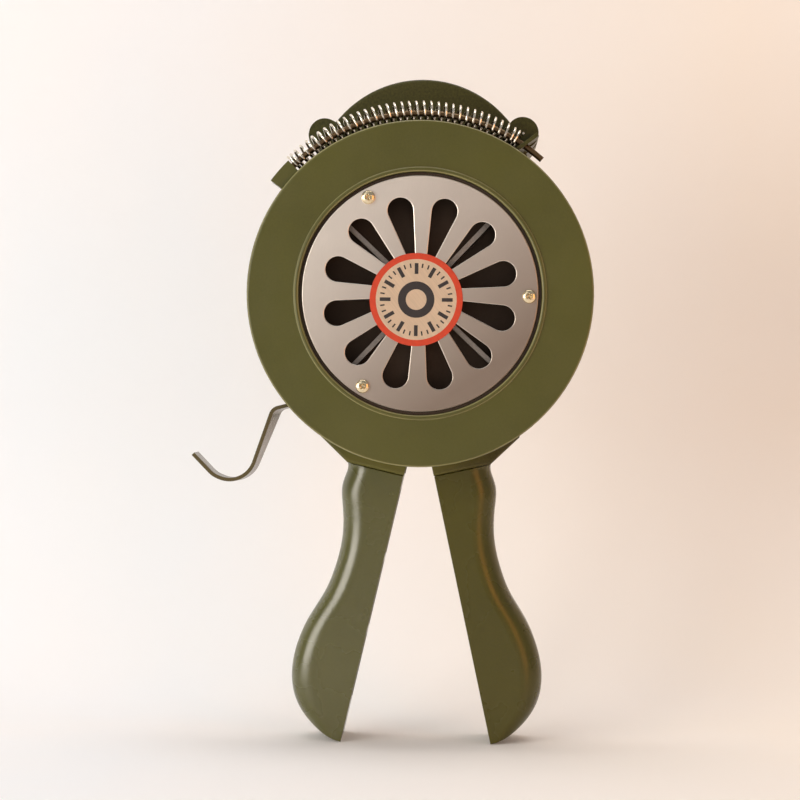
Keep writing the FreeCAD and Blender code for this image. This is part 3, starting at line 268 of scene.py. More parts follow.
# %% [markdown]
# ## Masks
# A mask is a share from 0 to 1 that says where a tone or a trace of wear goes. It may follow a direction,
# the distance from the rotor's axis, or the shape itself. For the shape there is the Bevel node: it gives
# normals that are rounded near sharp edges, for the light only, so that an edge catches a highlight. Where
# they lean away from the flat normals, there is an edge, and enamel is thin.

# %% Masks
BEVEL_SAMPLES = 6


def toward(finish, direction, low, high):
    """Share of the way along a direction, between two distances from the origin."""
    along = finish.node("ShaderNodeVectorMath")
    along.operation = "DOT_PRODUCT"
    along.inputs[1].default_value = direction
    finish.link(finish.place, along.inputs[0])
    return finish.span(along.outputs["Value"], 0.0, 1.0, low, high)


def axis_distance(finish):
    """Distance from the rotor's axis, which is the Y axis."""
    flat = finish.node("ShaderNodeVectorMath")
    flat.operation = "MULTIPLY"
    flat.inputs[1].default_value = (1, 0, 1)
    finish.link(finish.place, flat.inputs[0])
    length = finish.node("ShaderNodeVectorMath")
    length.operation = "LENGTH"
    finish.link(flat.outputs["Vector"], length.inputs[0])
    return length.outputs["Value"]


def circles(finish, radii, width):
    """1 on thin circles round the rotor's axis and 0 beside them."""
    distance = axis_distance(finish)
    result = 0.0
    for radius in radii:
        off = finish.arithmetic("ABSOLUTE", finish.arithmetic("SUBTRACT", distance, radius))
        result = finish.arithmetic("MAXIMUM", finish.span(off, 1.0, 0.0, 0.0, width), result)
    return result


def rounded(finish, radius):
    """Normals that turn smoothly over sharp edges, as if these had this radius."""
    bevel = finish.node("ShaderNodeBevel")
    bevel.samples = BEVEL_SAMPLES
    bevel.inputs["Radius"].default_value = radius
    return bevel.outputs["Normal"]


def edge_share(finish, normal):
    """How far rounded normals lean away from the flat ones: 0 on a flat, more on an edge."""
    lean = finish.node("ShaderNodeVectorMath")
    lean.operation = "DOT_PRODUCT"
    finish.link(normal, lean.inputs[0])
    finish.link(finish.node("ShaderNodeNewGeometry").outputs["Normal"], lean.inputs[1])
    return finish.span(lean.outputs["Value"], 1.0, 0.0, 0.80, 0.985)


print("masks:", [mask.__name__ for mask in (toward, circles, edge_share)])

# %% [markdown]
# ## A recipe for enamel
# The castings and the flange are stoved in enamel. Up close it isn't flat: it has a faint orange peel, its
# colour drifts a little from place to place, it is thinner and lighter on sharp edges, and handling leaves
# patches that shine more. A plain colour with one roughness would look like plastic. So the colour mixes
# two near tones with a fine mottle and a few specks, the edges get a third tone, and the roughness follows
# a broad noise. Two bumps give the peel and the finest grain.

# %% Enamel recipe
DRIFT_SCALE = 24.0
GLOSS_SCALE = 60.0
PATCH_SCALE = 90.0
PEEL_SCALE = 620.0
MOTTLE_SCALE = 1100.0
SPECK_SCALE = 2600.0
GRAIN_SCALE = 3300.0
PEEL_DEPTH = 0.035 * MM
GRAIN_DEPTH = 0.006 * MM
ENAMEL_EDGE_R = 0.45 * MM
ENAMEL_IOR = 1.48
HIGHLIGHT_LINE_WIDTH = 0.32 * MM


def enamel(name, tone, wear_and_highlight, rough_low, rough_high, edge_wear, painted_shades=(), highlight_radii=(), sheen=0.5):
    """Enamel with edge wear; painted shades (tone, direction, from, to) and painted highlight lines."""
    finish = Finish(name)
    drift = finish.noise(DRIFT_SCALE, 4.0)
    base = finish.mix(finish.span(drift, 0.0, 1.0), scaled(tone, 0.88), scaled(tone, 1.10))
    # Painted shades: darker tones that take over along a direction.
    for further, *way in painted_shades:
        base = finish.mix(toward(finish, *way), base, further)
    mottle = finish.span(finish.noise(MOTTLE_SCALE), 0.0, 0.30)
    base = finish.mix(mottle, base, scaled(tone, 1.3))
    specks = finish.span(finish.noise(SPECK_SCALE, 2.0), 0.0, 0.22, 0.60, 0.80)
    base = finish.mix(specks, base, scaled(tone, 1.5))
    normal = rounded(finish, ENAMEL_EDGE_R)
    patches = finish.span(finish.noise(PATCH_SCALE), 0.15 * edge_wear, edge_wear)
    base = finish.mix(finish.arithmetic("MULTIPLY", edge_share(finish, normal), patches), base, wear_and_highlight)
    # Painted highlights: light lines on circles round the rotor's axis.
    if highlight_radii:
        uneven = finish.span(drift, 0.45, 0.95)
        thin = finish.arithmetic("MULTIPLY", circles(finish, highlight_radii, HIGHLIGHT_LINE_WIDTH), uneven)
        base = finish.mix(thin, base, scaled(wear_and_highlight, 1.5))
    finish.colour(base)
    finish.roughness(finish.span(finish.noise(GLOSS_SCALE), rough_low, rough_high))
    finish.shader.inputs["IOR"].default_value = ENAMEL_IOR
    finish.shader.inputs["Specular IOR Level"].default_value = sheen
    peel = finish.noise(PEEL_SCALE, 2.0)
    grain = finish.noise(GRAIN_SCALE, 2.0)
    finish.bump([(peel, PEEL_DEPTH), (grain, GRAIN_DEPTH)], normal)
    return finish.material


print("peel every", round(1 / PEEL_SCALE / MM, 1), "mm, grain every", round(1 / GRAIN_SCALE / MM, 1), "mm")

# %% [markdown]
# ## The siren's enamels
# All of them are olive drab, and each differs a little. The gear case is painted lighter than the flange,
# as the light on the fork's left cheek, darker towards its top, as the flange's shade on the dome, and
# darker and browner low on the right, at the fork, as the shade there, so its enamel passes over into those
# tones.
# The right grip is painted darker and browner than the left, as shade, and the left one has more gloss. On
# the flange, light lines along its rounded rim and on both flanks of the bead round its bore are painted
# highlights. The lever has a browner coat with more gloss.

# %% Enamels
OLIVE = linear(78, 77, 28)
# Painted light: the case's base is lighter, for the lit left cheek of the fork.
OLIVE_CASE_PAINTED_LIGHT = linear(92, 88, 38)
OLIVE_LEFT = linear(76, 75, 17)
# Painted shade: the right grip is darker and browner than the left.
OLIVE_RIGHT_PAINTED_SHADE = linear(71, 67, 7)
OLIVE_WEAR_AND_HIGHLIGHT = linear(132, 126, 84)
# Painted shades of the case: darker at its top, and darker and browner at the fork's right.
OLIVE_PAINTED_SHADE_TOP = linear(54, 53, 20)
OLIVE_PAINTED_SHADE_FORK = linear(48, 37, 5)
LEVER_TONE = linear(82, 72, 42)
LEVER_WORN = linear(150, 136, 104)
# Painted highlights: light lines along these circles of the flange.
FLANGE_HIGHLIGHT_RADII = (49.7 * MM, 51.2 * MM, 70.15 * MM)
CASE_PAINTED_SHADES = [(OLIVE_PAINTED_SHADE_TOP, (0, 0, 1), 0.0, 40 * MM), (OLIVE_PAINTED_SHADE_FORK, (1, 0, -1), 75 * MM, 105 * MM)]

flange_enamel_with_highlights = enamel("flange_enamel_with_highlights", OLIVE, OLIVE_WEAR_AND_HIGHLIGHT, 0.30, 0.42, 0.55, highlight_radii=FLANGE_HIGHLIGHT_RADII)
left_enamel = enamel("left_enamel", OLIVE_LEFT, OLIVE_WEAR_AND_HIGHLIGHT, 0.24, 0.30, 0.55, sheen=1.0)
right_enamel_painted_shade = enamel("right_enamel_painted_shade", OLIVE_RIGHT_PAINTED_SHADE, OLIVE_WEAR_AND_HIGHLIGHT, 0.24, 0.32, 0.40)
case_enamel_with_painted_light = enamel("case_enamel_with_painted_light", OLIVE_CASE_PAINTED_LIGHT, OLIVE_WEAR_AND_HIGHLIGHT, 0.32, 0.46, 0.40, painted_shades=CASE_PAINTED_SHADES, sheen=0.3)
lever_enamel = enamel("lever_gloss", LEVER_TONE, LEVER_WORN, 0.18, 0.30, 0.60, sheen=0.6)
ENAMELS = (flange_enamel_with_highlights, left_enamel, right_enamel_painted_shade, case_enamel_with_painted_light, lever_enamel)
print("enamels:", [coat.name for coat in ENAMELS])

# %% [markdown]
# ## A recipe for metal
# Bare metal has no colour of its own beside the tint of its reflections, so its life is in the grain: the
# same fine lines steer its tone, its roughness and its bump. A broad cloud dulls it in places. Three
# options serve single pieces: a painted shade that takes over along a direction, one that takes over
# towards the rotor's axis, and a bright tone on faces that lean away from the front, such as cut edges,
# which is partly polish and partly a painted highlight.

# %% Metal recipe
CLOUD_SCALE = 45.0


def leaning(finish, low, high):
    """0 on faces square to the Y axis, 1 on those that lean well away from it."""
    parts = finish.node("ShaderNodeSeparateXYZ")
    finish.link(finish.node("ShaderNodeNewGeometry").outputs["Normal"], parts.inputs["Vector"])
    return finish.span(finish.arithmetic("ABSOLUTE", parts.outputs["Y"]), 1.0, 0.0, low, high)


def metal(name, tone, rough_low, rough_high, squeeze=None, turn=0.0, grain=1500.0, depth=0.004 * MM,
          contrast=0.10, edge_r=0.15 * MM, metallic=1.0, far=None, inner=None, polish_and_highlight=None):
    """Bare metal with lines of grain. far is the (tone, direction, from, to) of a painted shade that takes
    over that way, and inner the (tone, from, to) of a painted shade that takes over towards the rotor's
    axis."""
    finish = Finish(name, metallic)
    lines = finish.noise(grain, 3.0, squeeze, turn)
    base = finish.mix(finish.span(lines, 0.0, 1.0), scaled(tone, 1 - contrast), scaled(tone, 1 + contrast))
    cloud = finish.span(finish.noise(CLOUD_SCALE), 0.0, 0.35)
    base = finish.mix(cloud, base, scaled(tone, 0.82))
    # Painted shade that takes over along a direction.
    if far:
        further, *way = far
        base = finish.mix(toward(finish, *way), base, further)
    # Painted shade towards the rotor's axis.
    if inner:
        shaded, start, end = inner
        base = finish.mix(finish.span(axis_distance(finish), 0.0, 1.0, start, end), base, shaded)
    # Bright edges: partly polish, partly a painted highlight.
    if polish_and_highlight:
        base = finish.mix(leaning(finish, 0.55, 0.97), base, polish_and_highlight)
    finish.colour(base)
    finish.roughness(finish.span(lines, rough_low, rough_high))
    finish.bump([(lines, depth)], rounded(finish, edge_r))
    return finish.material


print("metal recipe ready")

# %% [markdown]
# ## The siren's metals
# The grille's sheet is rolled and polished in one direction, and noise squeezed twenty to one gives those
# fine lines. It is painted darker towards its lower right, a painted shade where its reflection fades, and
# its cut edges are painted bright, partly as polish and partly as a painted highlight. The castings inside
# are dull and dark, and the rotor is painted darker towards its back, as the shade deep in the drum.
# Turned steel is smoother, with a warm tint.

# %% Metals
# Painted shade on the grille's lower right.
GRILLE_PAINTED_SHADE = (linear(165, 149, 136), (1, 0, -1.4), -70 * MM, 70 * MM)
# Painted shade on the back of the rotor, deep inside the drum.
ROTOR_PAINTED_SHADE = (linear(84, 70, 60), (0, 1, 0), 13.5 * MM, 21 * MM)

sheet_steel_painted_light = metal("sheet_steel_painted_light", linear(253, 242, 230), 0.37, 0.40, squeeze=(1.0, 1.0, 0.05),
                    turn=math.radians(-12), grain=5200.0, depth=0.0003 * MM, contrast=0.02,
                    far=GRILLE_PAINTED_SHADE, polish_and_highlight=linear(252, 244, 232))
plated_steel = metal("plated_steel", linear(232, 214, 178), 0.10, 0.22, grain=900.0, depth=0.001 * MM)
turned_steel = metal("turned_steel", linear(116, 94, 68), 0.26, 0.42, squeeze=(1.0, 1.0, 0.1),
                     grain=2400.0, depth=0.003 * MM)
cut_steel = metal("cut_steel", linear(176, 174, 170), 0.25, 0.40, grain=2000.0)
rotor_alloy_painted_shade = metal("rotor_alloy_painted_shade", linear(190, 178, 168), 0.34, 0.50, grain=1100.0, depth=0.012 * MM,
                    contrast=0.16, far=ROTOR_PAINTED_SHADE)
stator_alloy = metal("stator_alloy", linear(70, 58, 48), 0.45, 0.62, grain=900.0, depth=0.015 * MM,
                     contrast=0.2, metallic=0.6)
sintered_bronze = metal("sintered_bronze", linear(196, 158, 104), 0.30, 0.45, grain=2600.0,
                        depth=0.006 * MM)
METALS = (sheet_steel_painted_light, plated_steel, turned_steel, cut_steel, rotor_alloy_painted_shade, stator_alloy, sintered_bronze)
print("metals:", [bare.name for bare in METALS])

# %% [markdown]
# ## Black plastic
# The crank's knob is turned from black plastic. Deep black would swallow its shape, so the base is a very
# dark grey, and fine rings of tool marks run round it: a wave texture of bands along Y gives them.

# %% Knob plastic
TOOL_MARK_SCALE = 320.0
TOOL_MARK_WOBBLE = 0.6
TOOL_MARK_DEPTH = 0.012 * MM
KNOB_TONE_SCALE = 70.0
KNOB_GLOSS_SCALE = 300.0
KNOB_GRAIN_SCALE = 1800.0
KNOB_GRAIN_DEPTH = 0.004 * MM
KNOB_EDGE_R = 0.4 * MM


def turned_plastic(name, tone):
    finish = Finish(name)
    marks = finish.node("ShaderNodeTexWave")
    marks.bands_direction = "Y"
    marks.inputs["Scale"].default_value = TOOL_MARK_SCALE
    marks.inputs["Distortion"].default_value = TOOL_MARK_WOBBLE
    finish.link(finish.place, marks.inputs["Vector"])
    finish.colour(finish.mix(finish.span(finish.noise(KNOB_TONE_SCALE), 0.0, 1.0), tone, scaled(tone, 1.8)))
    finish.roughness(finish.span(finish.noise(KNOB_GLOSS_SCALE), 0.28, 0.42))
    grain = finish.noise(KNOB_GRAIN_SCALE)
    finish.bump([(marks.outputs["Fac"], TOOL_MARK_DEPTH), (grain, KNOB_GRAIN_DEPTH)],
                rounded(finish, KNOB_EDGE_R))
    return finish.material


knob_plastic = turned_plastic("turned_plastic", linear(30, 29, 28))
print("plastic:", knob_plastic.name)

# %% [markdown]
# ## Dressing the CAD pieces
# Each CAD piece keeps its mesh and gets its finish by node name. A loop over a small table is easier to
# read, and to change, than a line for each piece.

# %% Finishes of the CAD pieces
WEARS = {
    flange_enamel_with_highlights: ["shutter_ring"],
    left_enamel: ["left_leg"],
    right_enamel_painted_shade: ["right_leg"],
    case_enamel_with_painted_light: ["housing", "back_cover"],
    lever_enamel: ["thumb_lever"],
    stator_alloy: ["stator"],
    rotor_alloy_painted_shade: ["rotor"],
    turned_steel: ["guide_rod", "rotor_shaft", "rotor_nut", "rotor_bearings", "idler_pin", "crank_shaft",
                   "crank_nut", "knob_spindle", "leg_pin"],
    cut_steel: ["rotor_pinion", "idler_gear", "idler_pinion", "crank_gear", "crank_arm"],
    plated_steel: ["lever_rivets", "shutter_guide_screws", "stator_screws"],
    sintered_bronze: ["crank_bushes"],
    knob_plastic: ["crank_knob"],
}
for material, wearers in WEARS.items():
    for node_name in wearers:
        slots = nodes[node_name].data.materials
        slots.clear()
        slots.append(material)
print("dressed:", sum(len(wearers) for wearers in WEARS.values()), "CAD pieces")

# %% [markdown]
# ## Mesh helpers
# The new pieces are made from plain lists of points and faces, because their shapes are rows of points that
# go round: the sections of a wire, or the circles of a turned head. `skin_faces` joins such rows with faces
# and closes both ends, `solid_of` makes an object of them, and `smooth` shades it smooth between its sharp
# edges.

# %% Mesh helpers
def circle_points(radius, count, x=0.0, z=0.0):
    """Points of a circle round (x, z), as pairs."""
    return [(x + radius * math.cos(2 * math.pi * i / count), z + radius * math.sin(2 * math.pi * i / count))
            for i in range(count)]


def skin_faces(rows, count):
    """Faces of a closed skin over rows of points that go round, with a cap at each end."""
    faces = []
    for row in range(rows - 1):
        for j in range(count):
            a = row * count + j
            b = row * count + (j + 1) % count
            faces.append((a, b, b + count, a + count))
    last = (rows - 1) * count
    faces.append(tuple(range(count))[::-1])
    faces.append(tuple(range(last, last + count)))
    return faces


def piece_of(name, mesh, material):
    """A mesh as an object in the scene, with one material."""
    mesh.materials.clear()
    mesh.materials.append(material)
    piece = bpy.data.objects.new(name, mesh)
    bpy.context.scene.collection.objects.link(piece)
    return piece


def solid_of(name, points, faces, material):
    mesh = bpy.data.meshes.new(name)
    mesh.from_pydata(points, [], faces)
    mesh.validate()
    return piece_of(name, mesh, material)


def smooth(piece, angle=35.0):
    """Shades the piece smooth except over edges sharper than the angle."""
    for face in piece.data.polygons:
        face.use_smooth = True
    piece.data.set_sharp_from_angle(angle=math.radians(angle))
    return piece


print("a closed skin over 3 rows of 8 points has", len(skin_faces(3, 8)), "faces")

# %% [markdown]
# ## The path of the return spring
# On the real siren a compression spring is bent round a curved rod, between the flange's tab and a seat on
# the housing. A screw modifier can't follow a bent axis, so the coil is worked out directly: a point runs
# round a small circle while the circle's centre moves along the big arc. The last turns at both ends lie
# closer together, as on any wound spring, and the middle bows out a little, because the spring is pressed
# together between its ends.

# %% Path of the coil
ARC_R = 74.0 * MM
ARC_Y = 8.0 * MM
COIL_R = 4.1 * MM
COIL_START = 58.1
COIL_END = 134.8
BOW = 0.7 * MM
TURNS = 36
STEPS_PER_TURN = 30
END_TURNS = 1.6
END_PITCH = 0.55


def turn_shares(turns, end_turns, end_pitch):
    """Share of the spring's length at each step, with tighter pitch near both ends."""
    steps = turns * STEPS_PER_TURN
    pitches = []
    for i in range(steps):
        from_end = min(i, steps - 1 - i) / STEPS_PER_TURN
        pitches.append(end_pitch if from_end < end_turns else 1.0)
    total = sum(pitches)
    shares = [0.0]
    for pitch in pitches:
        shares.append(shares[-1] + pitch / total)
    return shares


def on_arc(radius, y, angle):
    """The point at this angle, in radians, and this distance from the rotor's axis."""
    return Vector((radius * math.cos(angle), y, radius * math.sin(angle)))


coil_path = []
for step, share in enumerate(turn_shares(TURNS, END_TURNS, END_PITCH)):
    along = math.radians(COIL_START + (COIL_END - COIL_START) * share)
    around = 2 * math.pi * step / STEPS_PER_TURN
    radius = ARC_R + BOW * math.sin(math.pi * share) + COIL_R * math.cos(around)
    coil_path.append(on_arc(radius, ARC_Y + COIL_R * math.sin(around), along))
print("spring wire:", round(sum((b - a).length for a, b in zip(coil_path, coil_path[1:])), 2), "m")

# %% [markdown]
# ## The wire of the return spring
# A round section is swept along the path and set square to it at each point. Its side direction is carried
# on from point to point, so that the wire doesn't twist. The steel darkens towards the rod, where little
# light gets in between the turns.

# %% Wire of the coil
WIRE_R = 0.5 * MM
WIRE_SIDES = 10

spring_steel = metal("spring_steel", linear(236, 228, 212), 0.14, 0.28, grain=2200.0, depth=0.002 * MM,
                     edge_r=0.05 * MM, inner=(linear(74, 56, 38), ARC_R + 0.5 * MM, ARC_R - 2.5 * MM))


def tube_points(path, radius, sides):
    """Points of a round section at each point of a path, square to it."""
    points = []
    side = (path[1] - path[0]).orthogonal()
    for i, spot in enumerate(path):
        ahead = (path[min(i + 1, len(path) - 1)] - path[max(i - 1, 0)]).normalized()
        side = (side - ahead * side.dot(ahead)).normalized()
        up = ahead.cross(side)
        for j in range(sides):
            angle = 2 * math.pi * j / sides
            points.append(spot + (side * math.cos(angle) + up * math.sin(angle)) * radius)
    return points


coil = solid_of("return_spring_coil", tube_points(coil_path, WIRE_R, WIRE_SIDES),
                skin_faces(len(coil_path), WIRE_SIDES), spring_steel)
smooth(coil)
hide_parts("return_spring")
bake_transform(coil)
print("coil:", len(coil.data.polygons), "faces")

# %% [markdown]
# ## Outlines of the grille
# The grille is a round steel sheet with twelve drop shaped slots, punched from the front, and three holes
# for its screws. A slot is an arc round its wide end and an arc round its root, with straight sides that
# touch both, so the arcs' ends follow from the two radii and the distance between them.

# %% Outlines of the grille
GRILLE_R = 48.0 * MM
GRILLE_TURN = math.radians(-1.0)
GRILLE_POINTS = 180
SLOTS = 12
SLOT_END_R = 5.2 * MM
SLOT_END_AT = 34.7 * MM
SLOT_END_STEPS = 30
SLOT_ROOT_R = 1.5 * MM
SLOT_ROOT_AT = 15.0 * MM
SLOT_ROOT_STEPS = 10
SCREWS = 3
SCREW_AT = 44.3 * MM
SCREW_HOLE_R = 1.5 * MM
HOLE_POINTS = 24


def slot_points(turn):
    """One slot: an arc round its wide end, an arc round its root, and straight sides between them."""
    lean = math.asin((SLOT_END_R - SLOT_ROOT_R) / (SLOT_END_AT - SLOT_ROOT_AT))
    quarter = math.pi / 2
    points = []
    for radius, at, start, end, steps in (
            (SLOT_END_R, SLOT_END_AT, -quarter - lean, quarter + lean, SLOT_END_STEPS),
            (SLOT_ROOT_R, SLOT_ROOT_AT, quarter + lean, 3 * quarter - lean, SLOT_ROOT_STEPS)):
        for i in range(steps + 1):
            angle = start + (end - start) * i / steps
            x = at + radius * math.cos(angle)
            z = radius * math.sin(angle)
            points.append((x * math.cos(turn) - z * math.sin(turn), x * math.sin(turn) + z * math.cos(turn)))
    return points


screw_places = []
for i in range(SCREWS):
    angle = GRILLE_TURN + 2 * math.pi * i / SCREWS
    screw_places.append((SCREW_AT * math.cos(angle), SCREW_AT * math.sin(angle)))
outlines = [circle_points(GRILLE_R, GRILLE_POINTS)]
outlines += [slot_points(GRILLE_TURN + 2 * math.pi * (i + 0.5) / SLOTS) for i in range(SLOTS)]
outlines += [circle_points(SCREW_HOLE_R, HOLE_POINTS, x, z) for x, z in screw_places]
print("outlines:", len(outlines))

# %% [markdown]
# ## The grille's sheet
# A 2D curve is a good start for a sheet with holes: its rim and its holes are closed splines, Blender fills
# what is between them, and the curve's own extrude and bevel give the thickness and the small rolled edge
# of each hole. Booleans could punch the holes too, but would leave the rolled edges to a bevel modifier,
# which does worse on so many holes. The curve is drawn flat, then turned upright and set at the grille's
# depth.

# %% The grille's sheet
GRILLE_FRONT = 0.6 * MM
GRILLE_T = 1.2 * MM
ROLLED_EDGE = 0.32 * MM


def sheet_metal(name, outlines, front, thickness, rolled, material):
    """A flat sheet in the XZ plane from closed outlines; the first is its rim and the others are holes."""
    curve = bpy.data.curves.new(name, "CURVE")
    curve.dimensions = "2D"
    curve.fill_mode = "BOTH"
    curve.extrude = thickness / 2 - rolled
    curve.bevel_depth = rolled
    curve.bevel_resolution = 2
    curve.offset = -rolled
    for outline in outlines:
        spline = curve.splines.new("POLY")
        spline.points.add(len(outline) - 1)
        for point, (x, z) in zip(spline.points, outline):
            point.co = (x, z, 0, 1)
        spline.use_cyclic_u = True
    drawn = bpy.data.objects.new(name, curve)
    bpy.context.scene.collection.objects.link(drawn)
    bpy.context.view_layer.update()
    mesh = bpy.data.meshes.new_from_object(drawn)
    bpy.data.objects.remove(drawn)
    mesh.transform(Matrix.Rotation(math.radians(90), 4, "X"))
    mesh.transform(Matrix.Translation((0, front + thickness / 2, 0)))
    return piece_of(name, mesh, material)


grille_sheet = sheet_metal("grille_sheet", outlines, GRILLE_FRONT, GRILLE_T, ROLLED_EDGE, sheet_steel_painted_light)
smooth(grille_sheet, 30)
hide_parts("grille")
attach(grille_sheet, "housing")
print("grille:", len(grille_sheet.data.polygons), "faces")

# %% [markdown]
# ## The disc in the middle
# A thin metal disc is stuck on the grille, with a brushed champagne face and a red rim. Colours that end in
# a crisp line are best given to faces of their own, so the disc is built from circles of points, one of
# them where the red begins, and the faces outside it get the red material.

# %% Disc
DISC_R = 18.9 * MM
DISC_T = 0.4 * MM
DISC_X = -1.5 * MM
DISC_Z = -2.5 * MM
DISC_EDGE = 0.08 * MM
DISC_POINTS = 120
DISC_INNER_CIRCLES = (0.3 * MM, 8.0 * MM)
RIM_FROM = DISC_R - 2.5 * MM
INK_TONE_SCALE = 500.0
INK_GLOSS_SCALE = 1500.0
INK_GRAIN_SCALE = 2500.0
INK_GRAIN_DEPTH = 0.002 * MM

disc_face = metal("disc_face", linear(222, 196, 168), 0.34, 0.50, squeeze=(1.0, 1.0, 0.03),
                  turn=math.radians(38), grain=2600.0, depth=0.003 * MM, contrast=0.08, metallic=0.55)


def print_ink(name, tone, rough):
    """A printed ink with a slightly uneven coat."""
    finish = Finish(name)
    finish.colour(finish.mix(finish.span(finish.noise(INK_TONE_SCALE), 0.0, 1.0), tone, scaled(tone, 1.15)))
    finish.roughness(finish.span(finish.noise(INK_GLOSS_SCALE), rough, rough + 0.12))
    finish.bump([(finish.noise(INK_GRAIN_SCALE), INK_GRAIN_DEPTH)])
    return finish.material


red_print = print_ink("red_print", linear(192, 61, 31), 0.34)
disc_front = GRILLE_FRONT - DISC_T
profile = [(radius, disc_front) for radius in (*DISC_INNER_CIRCLES, RIM_FROM, DISC_R - DISC_EDGE)]
profile += [(DISC_R, disc_front + DISC_EDGE), (DISC_R, GRILLE_FRONT)]
disc_points = []
for radius, y in profile:
    disc_points += [(x, y, z) for x, z in circle_points(radius, DISC_POINTS, DISC_X, DISC_Z)]
disc = solid_of("centre_disc", disc_points, skin_faces(len(profile), DISC_POINTS), disc_face)
disc.data.materials.append(red_print)
for face in disc.data.polygons:
    radius = math.hypot(face.center.x - DISC_X, face.center.z - DISC_Z)
    if radius > RIM_FROM and face.center.y < GRILLE_FRONT - DISC_EDGE:
        face.material_index = 1
smooth(disc)
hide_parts("centre_badge")
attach(disc, "housing")
print("red faces:", sum(face.material_index for face in disc.data.polygons), "of", len(disc.data.polygons))

# %% [markdown]
# ## The print on the disc
# The marks are a plain dial: twelve long ticks, with short ones between, round a dark ring. They are
# printed on, so they are a film of ink with a real thickness of two hundredths of a millimetre. Thin closed
# boxes keep their edges crisp at any distance, which a texture doesn't.

# %% Print
PRINT_T = 0.02 * MM
TICKS = 36
LONG_EVERY = 3
TICK_OUTER = 14.8 * MM
LONG_TICK_FROM = 10.4 * MM
LONG_TICK_HALF = 0.75 * MM
SHORT_TICK_FROM = 13.0 * MM
SHORT_TICK_HALF = 0.3 * MM
RING_INNER = 4.2 * MM
RING_OUTER = 7.4 * MM
RING_POINTS = 72
BOX_FACES = ((0, 1, 2, 3), (7, 6, 5, 4), (0, 4, 5, 1), (1, 5, 6, 2), (2, 6, 7, 3), (3, 7, 4, 0))

dark_print = print_ink("dark_print", linear(44, 38, 38), 0.40)
print_sides = (disc_front - PRINT_T, disc_front)


def tick_boxes():
    """Points and faces of the ticks, as thin closed boxes just proud of the disc."""
    points = []
    faces = []
    middle = Vector((DISC_X, 0, DISC_Z))
    for i in range(TICKS):
        long_tick = i % LONG_EVERY == 0
        inner = LONG_TICK_FROM if long_tick else SHORT_TICK_FROM
        half = LONG_TICK_HALF if long_tick else SHORT_TICK_HALF
        angle = 2 * math.pi * i / TICKS
        out = Vector((math.cos(angle), 0, math.sin(angle)))
        across = Vector((-math.sin(angle), 0, math.cos(angle)))
        start = len(points)
        for y in print_sides:
            for far_out, aside in ((inner, -half), (TICK_OUTER, -half), (TICK_OUTER, half), (inner, half)):
                points.append(middle + out * far_out + across * aside + Vector((0, y, 0)))
        faces += [tuple(start + corner for corner in face) for face in BOX_FACES]
    return points, faces


def flat_ring(inner, outer, count):
    """Points and faces of a thin closed ring just proud of the disc."""
    points = []
    faces = []
    for y in print_sides:
        for radius in (inner, outer):
            points += [(x, y, z) for x, z in circle_points(radius, count, DISC_X, DISC_Z)]
    for a, b in ((0, 1), (1, 3), (3, 2), (2, 0)):
        for j in range(count):
            k = (j + 1) % count
            faces.append((a * count + j, a * count + k, b * count + k, b * count + j))
    return points, faces


ticks = solid_of("disc_ticks", *tick_boxes(), dark_print)
ring = solid_of("disc_ring", *flat_ring(RING_INNER, RING_OUTER, RING_POINTS), dark_print)
for piece in (ticks, ring):
    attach(piece, "housing")
print("print:", ticks.name, ring.name)

# %% [markdown]
# ## One cross recess screw
# A pan head has a flat side, a domed top and a recess whose four arms narrow towards the bottom. The head
# is turned from a profile, the cross is a tapered cutter, and a Boolean modifier takes one from the other.
# A small bevel then breaks the new edges. All shares are of the head's own radius and height, so one
# function makes every size.

# %% One screw
WALL_SHARE = 0.45
FOOT_RADIUS_SHARE = 0.96
FOOT_HEIGHT_SHARE = 0.08
DOME_STEPS = 9
DOME_POWER = 0.75
HEAD_POINTS = 48
RECESS_WIDTH_SHARE = 0.34
RECESS_REACH_SHARE = 0.52
RECESS_DEPTH_SHARE = 0.62
RECESS_TAPER = 0.45, 1.45
EDGE_BREAK = 0.05 * MM
HEAD_SHARP = 40.0


def cross_cutter(width, reach, depth, top):
    """Points and faces of a cross with twelve corners, tapered towards its bottom, along +Z."""
    half = width / 2
    outline = []
    for across, up in ((1, 0), (0, 1), (-1, 0), (0, -1)):
        for along, aside in ((reach, -half), (reach, half), (half, half)):
            outline.append((along * across - aside * up, along * up + aside * across))
    points = []
    for z, share in zip((top - depth, top + depth), RECESS_TAPER):
        points += [(x * share, y * share, z) for x, y in outline]
    return points, skin_faces(2, len(outline))


